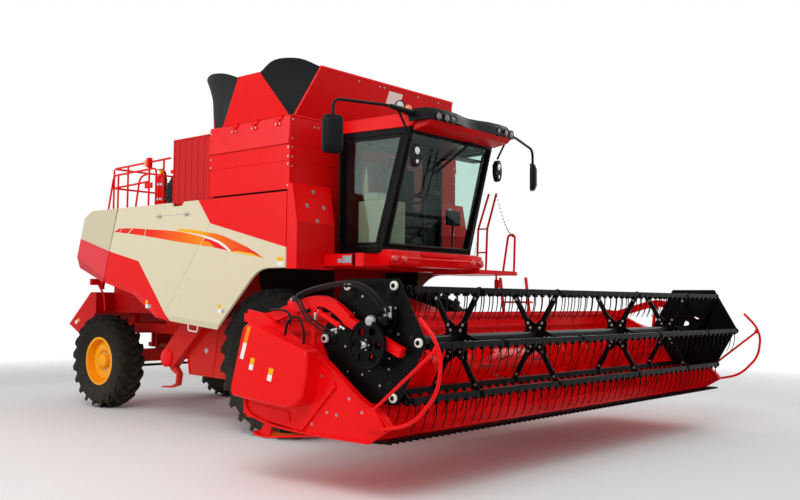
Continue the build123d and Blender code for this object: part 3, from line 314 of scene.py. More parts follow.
def bent(points, radius, steps=6):
    """Straight runs joined by round bends."""
    pts = [Vector(p) for p in points]
    out = [pts[0]]
    for a, b, c in zip(pts, pts[1:], pts[2:]):
        reach = min(radius, (b - a).length * 0.45, (c - b).length * 0.45)
        start, end = b + (a - b).normalized() * reach, b + (c - b).normalized() * reach
        for k in range(steps + 1):
            t = k / steps
            out.append(start * (1 - t) ** 2 + b * 2 * t * (1 - t) + end * t * t)
    return out + [pts[-1]]


def side_prism(bm, ring, y0, y1, index=0):
    """(distance ahead of the front axle, height) outline pushed from y0 to y1."""
    return add_prism(bm, [P(x, y0, z) for x, z in ring], Vector((0, y1 - y0, 0)), index)


# Washer's radius over the bolt head's, and its thickness over the head's height
WASHER_SPREAD = 1.5
WASHER_SHARE = 0.3


def bolt_tree():
    """Geometry Nodes tree that stands a hexagon bolt head on each point, along the point's own direction."""
    tree = bpy.data.node_groups.new("Bolt heads", "GeometryNodeTree")
    face = tree.interface
    face.new_socket("Geometry", in_out="INPUT", socket_type="NodeSocketGeometry")
    for name, value in (("Head radius", 0.012), ("Head height", 0.008)):
        face.new_socket(name, in_out="INPUT", socket_type="NodeSocketFloat").default_value = value
    face.new_socket("Material", in_out="INPUT", socket_type="NodeSocketMaterial")
    face.new_socket("Geometry", in_out="OUTPUT", socket_type="NodeSocketGeometry")
    given = add_node(tree, "NodeGroupInput")
    head = add_node(tree, "GeometryNodeMeshCylinder", [("Radius", given.outputs["Head radius"]),
                                                       ("Depth", given.outputs["Head height"])],
                    in_Vertices=6)
    washer = add_node(tree, "GeometryNodeMeshCylinder",
                      [("Radius", maths(tree, "MULTIPLY", given.outputs["Head radius"], WASHER_SPREAD)),
                       ("Depth", maths(tree, "MULTIPLY", given.outputs["Head height"], WASHER_SHARE))],
                      in_Vertices=12)
    both = add_node(tree, "GeometryNodeJoinGeometry")
    tree.links.new(head.outputs["Mesh"], both.inputs[0])
    tree.links.new(washer.outputs["Mesh"], both.inputs[0])
    way = add_node(tree, "GeometryNodeInputNamedAttribute", data_type="FLOAT_VECTOR", in_Name="way")
    turn = add_node(tree, "FunctionNodeAlignRotationToVector", [("Vector", way.outputs["Attribute"])],
                    axis="Z")
    stand = add_node(tree, "GeometryNodeInstanceOnPoints", [("Points", given.outputs["Geometry"]),
                                                            ("Instance", both.outputs[0]),
                                                            ("Rotation", turn.outputs["Rotation"])])
    real = add_node(tree, "GeometryNodeRealizeInstances", [("Geometry", stand.outputs["Instances"])])
    paint = add_node(tree, "GeometryNodeSetMaterial", [("Geometry", real.outputs["Geometry"]),
                                                       ("Material", given.outputs["Material"])])
    add_node(tree, "NodeGroupOutput", [("Geometry", paint.outputs["Geometry"])])
    return tree


def made_by(tree, mesh, name, body, **inputs):
    """Run a Geometry Nodes tree on a mesh and keep the result as a plain mesh on a body."""
    carrier = bpy.data.objects.new(name, mesh)
    bpy.context.scene.collection.objects.link(carrier)
    modifier = carrier.modifiers.new("Nodes", "NODES")
    modifier.node_group = tree
    for item in tree.interface.items_tree:
        key = item.name.replace(" ", "_").lower()
        if getattr(item, "in_out", "") == "INPUT" and key in inputs:
            modifier[item.identifier] = inputs[key]
    graph = bpy.context.evaluated_depsgraph_get()
    result = bpy.data.meshes.new_from_object(carrier.evaluated_get(graph), depsgraph=graph)
    carrier.modifiers.remove(modifier)
    bpy.data.objects.remove(carrier)
    result.name = name
    return object_of(name, result, None, body)


def points_mesh(spots):
    """Mesh of loose points from (place, direction) pairs, with the directions kept as an attribute."""
    mesh = bpy.data.meshes.new("spots")
    mesh.from_pydata([tuple(p) for p, _ in spots], [], [])
    store = mesh.attributes.new("way", "FLOAT_VECTOR", "POINT")
    store.data.foreach_set("vector", [c for _, n in spots for c in Vector(n).normalized()])
    return mesh


def bolts(name, spots, body, material, radius=0.012, height=0.008):
    """Bolt heads with washers at (place, direction) pairs."""
    tree = bpy.data.node_groups.get("Bolt heads") or bolt_tree()
    return made_by(tree, points_mesh(spots), name, body, head_radius=radius, head_height=height,
                   material=material)


# Finishes
DUST_TOP = 1.4


def surface(name, colour, roughness, metallic=0.0, coat=0.0, ior=1.5, spread=0.0, scale=6.0,
            rough_spread=0.0, bump=0.0, bump_scale=80.0, dust=0.0, dust_colour="#8F7C60"):
    """Material with slow colour and gloss variation, fine bump, and dust that settles towards the ground.

    spread is the share by which the colour drifts, scale its waves per metre, and dust the share of dust
    at ground level, fading out at DUST_TOP."""
    made, tree, shader = new_material(name, colour)
    shader.inputs["Roughness"].default_value = roughness
    shader.inputs["Metallic"].default_value = metallic
    shader.inputs["Coat Weight"].default_value = coat
    shader.inputs["Coat Roughness"].default_value = 0.06
    if not metallic:
        shader.inputs["IOR"].default_value = ior
    place, axes = coordinates(tree)
    if spread or dust:
        waves = noise(tree, place, scale, 4.0, in_Roughness=0.6)
        dark = tuple(c * (1 - spread) for c in colour)
        light = tuple(min(1, c * (1 + spread)) for c in colour)
        last = add_node(tree, "ShaderNodeMix", [("Factor", waves)], data_type="RGBA", in_6=rgba(dark),
                        in_7=rgba(light)).outputs[2]
        if dust:
            low = add_node(tree, "ShaderNodeMapRange", [("Value", axes["Z"])], in_1=0.0, in_2=DUST_TOP,
                           in_3=dust, in_4=0.0)
            share = maths(tree, "MULTIPLY", low.outputs[0], noise(tree, place, 14.0, 6.0))
            last = add_node(tree, "ShaderNodeMix", [("Factor", share), (6, last)], data_type="RGBA",
                            in_7=rgba(linear(dust_colour))).outputs[2]
        tree.links.new(last, shader.inputs["Base Color"])
    if rough_spread:
        gloss = add_node(tree, "ShaderNodeMapRange", [("Value", noise(tree, place, scale * 2, 3.0))],
                         in_3=roughness - rough_spread, in_4=roughness + rough_spread)
        tree.links.new(gloss.outputs[0], shader.inputs["Roughness"])
    if bump:
        relief = add_node(tree, "ShaderNodeBump", [("Height", noise(tree, place, bump_scale, 2.0))],
                          in_Strength=bump, in_Distance=0.002)
        tree.links.new(relief.outputs["Normal"], shader.inputs["Normal"])
    return made


def glass(name, tint, shine):
    """Tinted safety glass: each face lets the tint through and mirrors a small share of the room."""
    made, tree, shader = new_material(name, tint)
    tree.nodes.remove(shader)
    clear = add_node(tree, "ShaderNodeBsdfTransparent", in_Color=rgba(tint))
    mirror = add_node(tree, "ShaderNodeBsdfGlossy", in_Color=(0.8, 0.9, 0.87, 1), in_Roughness=0.03)
    mix = add_node(tree, "ShaderNodeMixShader", [(1, clear.outputs[0]), (2, mirror.outputs[0])], in_0=shine)
    tree.links.new(mix.outputs[0], tree.nodes["Material Output"].inputs["Surface"])
    made.diffuse_color = (*tuple(tint)[:3], 0.4)
    return made


def film(name, stops):
    """Printed film whose colour runs through stops of (distance ahead of the front axle, colour)."""
    made = surface(name, linear(stops[0][1]), 0.35, coat=0.02, ior=1.2)
    tree = made.node_tree
    low, high = stops[0][0], stops[-1][0]
    share = add_node(tree, "ShaderNodeMapRange", [("Value", coordinates(tree)[1]["X"])], in_1=low + AXLE_X,
                     in_2=high + AXLE_X)
    ramp = add_node(tree, "ShaderNodeValToRGB", [("Fac", share.outputs[0])])
    points = ramp.color_ramp.elements
    while len(points) < len(stops):
        points.new(0.5)
    for point, (x, _) in zip(points, stops):
        point.position = (x - low) / (high - low)
    for point, (_, code) in zip(points, stops):
        point.color = rgba(linear(code))
    tree.links.new(ramp.outputs["Color"], tree.nodes["Principled BSDF"].inputs["Base Color"])
    return made


def perforated(colour, pitch):
    """Sheet whose upright faces show rows of round holes in a darker red."""
    made = surface("Perforated_red_sheet", tuple(0.74 * c + 0.005 for c in colour), 0.5, ior=1.25,
                   spread=0.06)
    tree = made.node_tree
    axes = coordinates(tree)[1]
    waves = [maths(tree, "COSINE", maths(tree, "MULTIPLY", source, 2 * math.pi / pitch))
             for source in (maths(tree, "ADD", axes["X"], axes["Y"]), axes["Z"])]
    hole = add_node(tree, "ShaderNodeMapRange", [("Value", maths(tree, "ADD", *waves))], in_1=0.2, in_2=0.9)
    shader = tree.nodes["Principled BSDF"]
    sheet = shader.inputs["Base Color"].links[0].from_socket
    mixed = add_node(tree, "ShaderNodeMix", [("Factor", hole.outputs[0]), (6, sheet)], data_type="RGBA",
                     in_7=rgba(linear("#A0141B")))
    tree.links.new(mixed.outputs[2], shader.inputs["Base Color"])
    return made


def split_paint(name, upper, lower, line, fold):
    """Sheet painted in two colours that meet along a slanted line, with painted shade below a folded edge.

    line and fold are two (distance ahead of the front axle, height) points each."""
    made = surface(name, upper, 0.38, coat=0.05, ior=1.35, bump=0.04, bump_scale=45)
    tree = made.node_tree
    axes = coordinates(tree)[1]
    socket = None
    # The second colour is the lower one darkened as painted shade on the lip below the fold
    for (xa, za), (xb, zb), colour in ((*line, lower), (*fold, tuple(c * 0.72 for c in lower))):
        slope = (zb - za) / (xb - xa)
        height = maths(tree, "ADD", axes["Z"], maths(tree, "MULTIPLY", axes["X"], -slope))
        below = maths(tree, "LESS_THAN", height, za - slope * (xa + AXLE_X))
        mix = add_node(tree, "ShaderNodeMix", [("Factor", below)] + ([(6, socket)] if socket else []),
                       data_type="RGBA", in_7=rgba(colour))
        if not socket:
            mix.inputs[6].default_value = rgba(upper)
        socket = mix.outputs[2]
    tree.links.new(socket, tree.nodes["Principled BSDF"].inputs["Base Color"])
    return made


class HarvesterColours(bpy.types.PropertyGroup):
    """Colours a user would change."""
    red: FloatVectorProperty(name="Red", description="Red body paint", subtype="COLOR", size=3, min=0, max=1,
                             default=linear("#EC0A0E"))
    beige: FloatVectorProperty(name="Beige", description="Beige of the side covers", subtype="COLOR", size=3,
                               min=0, max=1, default=linear("#DCD2B2"))
    yellow: FloatVectorProperty(name="Yellow", description="Wheel rim paint", subtype="COLOR", size=3, min=0,
                                max=1, default=linear("#FFA90C"))
    black: FloatVectorProperty(name="Black", description="Black paint of the reel and the cab frame",
                               subtype="COLOR", size=3, min=0, max=1, default=linear("#0A0A0B"))
    tyre: FloatVectorProperty(name="Tyre", description="Tyre rubber", subtype="COLOR", size=3, min=0, max=1,
                              default=linear("#161514"))
    tint: FloatVectorProperty(name="Glass tint", description="Green tint of the cab glass", subtype="COLOR",
                              size=3, min=0, max=1, default=linear("#EDF7F3"))


class HarvesterSizes(bpy.types.PropertyGroup):
    """Sizes a user would change."""
    bolt: FloatProperty(name="Bolt head", description="Radius of the common bolt heads", default=0.008,
                        min=0.004, max=0.03, unit="LENGTH")
    hose: FloatProperty(name="Hose", description="Radius of the hydraulic hoses", default=0.011, min=0.005,
                        max=0.03, unit="LENGTH")
    tine_pitch: FloatProperty(name="Tine pitch", description="Distance between the tines on a bat",
                              default=0.125, min=0.06, max=0.3, unit="LENGTH")
    hole_pitch: FloatProperty(name="Screen hole pitch", description="Distance between the screen's holes",
                              default=0.02, min=0.01, max=0.1, unit="LENGTH")


# Finishes: key, name, colour property or sRGB code, share of it, roughness, and what else surface() takes
FINISHES = (
    # Two-pack enamel sprayed on sheet steel: a wet-looking gloss with a faint orange-peel ripple
    ("red", "Red_enamel", "red", 1, 0.32, dict(coat=0.03, ior=1.2, spread=0.05, rough_spread=0.06, bump=0.05,
                                               bump_scale=45)),
    # The same enamel low on the machine, darkened as painted shade under the body, with field dust on it
    ("red_low", "Red_enamel_dusty", "red", 0.74, 0.45,
     dict(ior=1.2, spread=0.07, rough_spread=0.08, bump=0.08, bump_scale=45, dust=0.35)),
    # Satin enamel of the beige covers: broad soft highlights
    ("beige", "Beige_enamel", "beige", 1, 0.38,
     dict(coat=0.05, ior=1.35, spread=0.03, rough_spread=0.05, bump=0.04, bump_scale=45)),
    # Chassis enamel on the reel and cab frame: a deep black that still catches edges
    ("black", "Black_enamel", "black", 1, 0.3,
     dict(coat=0.02, ior=1.14, spread=0.2, rough_spread=0.08, bump=0.1, bump_scale=60)),
    # Wheel enamel: warm yellow with brake and road dust low down
    ("yellow", "Yellow_enamel", "yellow", 1, 0.38, dict(coat=0.04, ior=1.25, spread=0.04, dust=0.12)),
    # Vulcanised tyre rubber: matt, with grey dust in its pores
    ("tyre", "Tyre_rubber", "tyre", 1, 0.82,
     dict(ior=1.2, spread=0.35, scale=9, bump=0.5, bump_scale=220, dust=0.4, dust_colour="#6F6759")),
    # Calendered rubber sheet of the folding corners: matt with soft streaks
    ("rubber", "Rubber_sheet", "#191B1C", 1, 0.62,
     dict(ior=1.2, spread=0.35, scale=3, rough_spread=0.12, bump=0.25, bump_scale=25)),
    # Injection-moulded black plastic with a fine texture
    ("plastic", "Black_moulded_plastic", "#111214", 1, 0.42,
     dict(ior=1.2, spread=0.15, bump=0.3, bump_scale=400)),
    # Moulded beige-grey ABS of the console
    ("console", "Grey_ABS", "#A8A68E", 1, 0.5, dict(ior=1.3, spread=0.05, bump=0.2, bump_scale=300)),
    # Woven seat cloth: dark with a soft nap
    ("cloth", "Seat_cloth", "#26262A", 1, 0.95, dict(spread=0.3, scale=160, bump=0.8, bump_scale=500)),
    # Painted shade: near-black sheets in the dark cavities of the wheel arches
    ("liner", "Black_liner_plastic", "#1E1012", 1, 0.8, dict(ior=1.2, spread=0.2, scale=6)),
    # Red vinyl of the long blade along the cover
    ("stripe_red", "Red_vinyl", "#E6181C", 1, 0.35, dict(ior=1.2, spread=0.03)),
    # Flat vinyl of the stripe's flame and the small labels: satin, a shade brighter than the paint
    ("orange", "Orange_vinyl", "#F58A08", 1, 0.35, dict(ior=1.2, spread=0.03)),
    ("label_yellow", "Yellow_vinyl", "#F2B606", 1, 0.35, dict(ior=1.2, spread=0.03)),
    ("label_white", "White_vinyl", "#EDEDEB", 1, 0.4, dict(spread=0.02)),
    ("label_grey", "Grey_vinyl", "#9AA3AD", 1, 0.35, dict(spread=0.03)),
    # Red reflector moulding
    ("reflector", "Red_acrylic", "#D81E1E", 1, 0.12, dict(coat=0.6, spread=0.05, bump=0.4, bump_scale=160)),
    # Orange beacon and marker lens
    ("amber", "Amber_acrylic", "#FF7A12", 1, 0.12, dict(coat=0.6, spread=0.05)),
    # Lamp glass over a bright bowl
    ("lens", "Lamp_glass", "#C9CFD2", 1, 0.08,
     dict(metallic=0.75, spread=0.3, scale=120, bump=0.6, bump_scale=150)),
    # Smoked lens of the lamps in the brow
    ("smoked", "Smoked_lamp_glass", "#7B6F70", 1, 0.12,
     dict(metallic=0.6, spread=0.4, scale=90, bump=0.6, bump_scale=150)),
    # Silver mirror glass
    ("mirror", "Mirror_glass", "#C4CCD2", 1, 0.03, dict(metallic=1.0)),
    # White nylon rollers
    ("nylon", "White_nylon", "#E3E1D8", 1, 0.4, dict(spread=0.05)),
    # The leaning upper tank sheet catches the sky and looks paler
    ("red_pale", "Red_enamel_upper", "#EC1820", 1, 0.3,
     dict(coat=0.04, ior=1.25, spread=0.05, bump=0.05, bump_scale=45)),
    # Shaded inner and front faces read as a deeper red
    ("red_deep", "Red_enamel_deep", "red", 0.76, 0.35, dict(coat=0.02, ior=1.2, spread=0.06)),
    # Painted shade for the unlit slots between panels
    ("dark", "Dark_primer", "#120303", 1, 0.8, dict(ior=1.1, spread=0.2)),
    # Grey cast iron with its sand texture
    ("iron", "Cast_iron", "#4A4A4C", 1, 0.6, dict(metallic=0.6, spread=0.2, bump=0.6, bump_scale=90)),
    # Hard-chromed cylinder rod
    ("chrome", "Hard_chrome", "#D4D6D8", 1, 0.12, dict(metallic=1.0)),
    # Zinc-plated bolts and fittings
    ("zinc", "Zinc_plate", "#A4A6A8", 1, 0.35, dict(metallic=0.9, spread=0.2, scale=60)),
    # Braided hydraulic hose cover
    ("hose", "Hose_rubber", "#0C0C0D", 1, 0.4, dict(ior=1.25, spread=0.2, bump=0.4, bump_scale=350)),
)

# Nodes that wear each finish
NODES = {
    "red": "auger_base cab_roof feeder_house front_panels grain_tank header_auger header_covers "
           "header_table ladder lift_barrels platform reel_arms reel_lift_barrels tank_extension "
           "unloading_auger deck_rails",
    "red_low": "front_axle rear_axle main_frame thresher_body chopper knuckle_left knuckle_right",
    "beige": "side_cover_left side_cover_right",
    "hood": "tail_hood",
    "hose": "reel_hoses",
    "screen": "screen_box",
    "black": "cab_frame cutter_bar door_left door_right reel_carriage reel_controls reel_core "
             "tie_rod reel_bat_1 reel_bat_2 reel_bat_3 reel_bat_4 reel_bat_5 reel_bat_6",
    "yellow": "front_rim_left front_rim_right rear_rim_left rear_rim_right",
    "tyre": "front_tyre_left front_tyre_right rear_tyre_left rear_tyre_right",
    "rubber": "extension_corners",
    "plastic": "cab_brow",
    "console": "console",
    "cloth": "seat",
    "glass": "cab_glass door_glass_left door_glass_right",
    "iron": "engine",
    "chrome": "lift_rods reel_lift_rods",
}
MAT = {}
SIDES = (("right", -1), ("left", 1))


class HARVESTER_OT_finishes(bpy.types.Operator):
    """Make the finishes and give them to the pieces that the frame brings"""
    bl_idname = "harvester.finishes"
    bl_label = "Finishes"

    def execute(self, context):
        colour = context.scene.harvester_colours
        for key, name, paint, share, roughness, more in FINISHES:
            base = linear(paint) if paint.startswith("#") else getattr(colour, paint)
            MAT[key] = surface(name, tuple(share * c for c in base), roughness, **more)
        # Tail hood in both paints, meeting along the line from the side covers, with painted shade below the
        # fold
        MAT["hood"] = split_paint("Two_tone_enamel", tuple(c * 0.86 for c in colour.beige), linear("#E02A38"),
                                  HOOD_LINE, HOOD_FOLD)
        # Screen-printed vinyl film: fades along the machine from red over orange to yellow
        MAT["fade"] = film("Faded_vinyl", ((-2.9, "#E6181C"), (-2.1, "#F02A12"), (-1.5, "#F56A0A"),
                                           (-1.0, "#F5900A")))
        # The same film in the order yellow to red, for the crest over the stripe
        MAT["crest"] = film("Crest_vinyl",
                            ((-1.6, "#F2B808"), (-1.1, "#F3A808"), (-0.95, "#F5780C"), (-0.45, "#F04E14"),
                             (-0.15, "#E6201C")))
        # Perforated red sheet: its round holes show a darker red
        MAT["screen"] = perforated(colour.red, context.scene.harvester_sizes.hole_pitch)
        # Safety glass with a slight green cast
        MAT["glass"] = glass("Tinted_glass", colour.tint, 0.022)
        for key, nodes in NODES.items():
            for node in nodes.split():
                mesh = frame["nodes"][node].data
                mesh.materials.clear()
                mesh.materials.append(MAT[key])
        # The wheel and its column are black plastic, the box beside the seat stays grey
        mesh = frame["nodes"]["console"].data
        mesh.materials.append(MAT["plastic"])
        for face in mesh.polygons:
            if face.center.y > -0.20 and face.center.z > 2.07:
                face.material_index = 1
        known = {made.name for made in MAT.values()}
        left = [name for name, node in frame["nodes"].items() if node.data.materials[0].name not in known]
        if left:
            raise RuntimeError(f"no finish for {left}")
        return {"FINISHED"}


# Side covers: each zone is one pressed sheet of corners (distance ahead, height, width of the fold from there)
COVER_TOP = 2.626
COVER_FACE = 1.503
COVER_HINGE = (1.462, 2.62)
ZONES = (
    ("beige", [(-2.850, COVER_TOP, 0.003), (-1.710, COVER_TOP, 0.003), (-1.688, 2.579, 0.003),
               (-1.508, 2.579, 0.003), (-1.461, COVER_TOP, 0.003), (-1.192, COVER_TOP, 0),
               (-0.958, 2.341, 0.002), (-1.800, 1.302, 0), (-2.371, 1.939, 0), (-3.028, 2.079, 0.003)]),
    ("beige", [(-0.958, 2.341, 0), (0.320, 2.031, 0.003), (0.320, 1.812, 0.006), (0.030, 1.812, 0.006),
               (-0.060, 1.798, 0.006), (-0.145, 1.762, 0.006), (-0.230, 1.700, 0.006), (-0.821, 1.133, 0.066),
               (-1.720, 1.212, 0), (-1.800, 1.302, 0.002)]),
    ("red", [(-1.192, COVER_TOP, 0.003), (0.320, COVER_TOP, 0.003), (0.320, 2.031, 0), (-0.958, 2.341, 0)]),
    ("red", [(-3.028, 2.079, 0), (-2.371, 1.939, 0), (-1.720, 1.212, 0.055), (-2.008, 1.247, 0.075),
             (-2.497, 1.526, 0.075), (-3.160, 1.677, 0.003)]),
)
STRIPE_TOP = [(-2.933, 2.328), (-2.810, 2.365), (-2.508, 2.354), (-2.221, 2.330), (-1.823, 2.299),
              (-1.558, 2.273), (-1.301, 2.238), (-1.063, 2.187)]
STRIPE_LOW = [(-1.149, 2.098), (-1.700, 2.170), (-2.265, 2.250), (-2.635, 2.293)]
BLADE = [(-1.053, 2.176), (-0.942, 2.152), (-0.808, 2.110), (-0.702, 2.057), (-0.628, 2.019), (-0.872, 2.062),
         (-1.137, 2.098)]
FLAME = [(-1.090, 2.148), (-0.995, 2.137), (-0.913, 2.097), (-0.872, 2.064), (-1.135, 2.100)]
CREST = [(-1.580, 2.309), (-1.246, 2.279), (-1.026, 2.242), (-0.838, 2.219), (-0.679, 2.178), (-0.473, 2.110),
         (-0.297, 2.048), (-0.148, 1.983), (-0.022, 1.919), (-0.319, 1.971), (-0.571, 2.007), (-0.611, 2.041),
         (-0.677, 2.084), (-0.782, 2.132), (-0.902, 2.170), (-1.024, 2.197), (-1.093, 2.211), (-1.301, 2.242),
         (-1.564, 2.279)]
CREST_TIP = [(-0.470, 2.012), (-0.221, 1.978), (-0.022, 1.919), (-0.319, 1.971), (-0.560, 2.005)]
WHITE_LINE = [(-1.558, 2.277), (-1.301, 2.242), (-1.093, 2.211), (-0.903, 2.170), (-0.782, 2.130),
              (-0.677, 2.082), (-0.571, 2.007), (-0.623, 2.018), (-0.689, 2.063), (-0.795, 2.113),
              (-0.929, 2.154), (-1.092, 2.194), (-1.301, 2.233)]
SLASHES = [[(-2.760, 2.368), (-2.748, 2.368), (-2.812, 2.306), (-2.824, 2.306)],
           [(-2.520, 2.360), (-2.494, 2.360), (-2.614, 2.284), (-2.640, 2.284)],
           [(-2.236, 2.336), (-2.224, 2.336), (-2.252, 2.240), (-2.264, 2.240)]]
HOOD_LINE = ((-3.028, 2.079), (-3.741, 2.269))
HOOD_FOLD = ((-3.135, 1.723), (-3.820, 2.029))


class HARVESTER_OT_covers(bpy.types.Operator):
    """Press the side covers from coloured zones with folded lips, and put the stripe and labels on them"""
    bl_idname = "harvester.covers"
    bl_label = "Side covers"

    def execute(self, context):
        for name, side in SIDES:
            def place(a, b, d):
                return P(a, side * (COVER_FACE - d), b)

            bm = bmesh.new()
            for index, (key, zone) in enumerate(ZONES):
                add_panel(bm, [(x, z) for x, z, fold in zone], [fold for x, z, fold in zone], place, 0.022,
                          0.027, 0 if key == "beige" else 1)
            for x in (-2.6, -1.9):
                y, z = COVER_HINGE
                add_tube(bm, [P(x + dx, side * y, z) for dx in (-0.018, 0.018)], 0.014, index=2)
                side_box(bm, side, (x - 0.018, x + 0.018), (y, 1.49), (z - 0.04, z), index=2)
            skin = object_of(f"cover_panels_{name}", mesh_from(bm, "cover"),
                             [MAT["beige"], MAT["red"], MAT["zinc"]], f"{name}_cover")
            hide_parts(f"side_cover_{name}")

            films = [("stripe", STRIPE_TOP + STRIPE_LOW, "fade", 1), ("blade", BLADE, "stripe_red", 1),
                     ("flame", FLAME, "orange", 2), ("crest", CREST, "crest", 1),
                     ("crest_tip", CREST_TIP, "label_yellow", 2),
                     ("white_line", WHITE_LINE, "label_white", 3)]
            films += [(f"slash_{i}", ring, "beige", 2) for i, ring in enumerate(SLASHES)]
            for x0, x1, z0, z1, key in ((0.189, 0.283, 1.884, 1.929, "label_yellow"),
                                        (0.189, 0.283, 1.838, 1.882, "label_white"),
                                        (-0.791, -0.735, 1.372, 1.417, "label_yellow"),
                                        (-0.791, -0.730, 1.322, 1.370, "label_white"),
                                        (-0.727, -0.672, 1.322, 1.364, "label_grey"),
                                        (-2.200, -2.150, 1.412, 1.460, "label_yellow"),
                                        (-2.200, -2.144, 1.360, 1.409, "label_white"),
                                        (-2.140, -2.084, 1.360, 1.402, "label_grey")):
                films.append((f"label_{len(films)}", [(x0, z0), (x1, z0), (x1, z1), (x0, z1)], key, 1))
            for label, ring, key, layer in films:
                bm = bmesh.new()
                face = side * (COVER_FACE + 0.0004 * layer)
                side_prism(bm, ring, face, face - side * 0.0003)
                object_of(f"{label}_{name}", mesh_from(bm, label), MAT[key], f"{name}_cover")

            # Folded hatch line with its two pairs of hinges, and the pull handle under the lip
            lone(f"hatch_line_{name}", "label_grey", f"{name}_cover", None, side_prism,
                 thick_line([(-2.047, 2.614), (-2.042, 2.477), (-1.309, 2.472)], 0.004), side * 1.5026,
                 side * 1.504)
            bm = bmesh.new()
            for x in (-1.944, -1.405):
                for dx in (-0.028, 0.012):
                    side_box(bm, side, (x + dx, x + dx + 0.016), (COVER_FACE, 1.512), (2.448, 2.496), 0.003)
                add_tube(bm, [P(x + dx, side * 1.509, 2.472) for dx in (-0.045, 0.045)], 0.006)
            piece(bm, f"hatch_hinges_{name}", "zinc", f"{name}_cover", 40)
            bm = bmesh.new()
            handle = [P(-1.350, side * 1.485, 1.19), P(-1.345, side * 1.492, 1.112),
                      P(-1.180, side * 1.492, 1.096), P(-1.170, side * 1.485, 1.17)]
            add_tube(bm, bent(handle, 0.03), 0.008)
            piece(bm, f"pull_handle_{name}", "nylon", f"{name}_cover", 60)
        return {"FINISHED"}


# Grain tank extension: corners of the leaning sheets as (ahead, left, height), right side
FLAP_FOOT = (-0.810, 0.270)
TANK_X = (-1.052, 0.305)
TANK_Y = 1.455
HINGE_X = (-0.60, -0.26, 0.132)
FRONT_FAN = ([(0.282, -1.450, 3.445), (0.300, -1.402, 3.445)],
             [(-0.052, -1.580, 3.930), (0.130, -1.530, 4.050), (0.330, -1.360, 4.068),
              (0.450, -1.165, 4.000)])
REAR_FAN = ([(-1.050, -1.402, 3.445), (-0.822, -1.450, 3.445)],
            [(-1.412, -1.165, 4.040), (-1.300, -1.330, 4.075), (-1.020, -1.480, 4.078),
             (-0.680, -1.560, 4.020), (-0.412, -1.580, 3.930)])


def add_fan(bm, feet, tops, side, rows=6, sag=0.05):
    """Rubber corner: a sheet from a short foot line up to an arched top line, sagging inward between them."""
    crest = smooth_line([P(x, -side * y, z) for x, y, z in tops], 4)
    a, b = (P(x, -side * y, z) for x, y, z in feet)
    centre = P(-0.4, 0, 3.7)
    grid = []
    for r in range(rows + 1):
        up = r / rows
        line = []
        for k, top in enumerate(crest):
            t = k / (len(crest) - 1)
            foot = a.lerp(b, t)
            point = foot.lerp(top, up)
            inward = centre - point
            inward.z = 0
            dip = sag * math.sin(math.pi * up) * math.sin(math.pi * t)
            line.append(bm.verts.new(point + inward.normalized() * dip))
        grid.append(line)
    faces = []
    for low, high in zip(grid, grid[1:]):
        for k in range(len(low) - 1):
            faces.append(bm.faces.new((low[k], low[k + 1], high[k + 1], high[k])))
    bmesh.ops.solidify(bm, geom=faces, thickness=0.006)


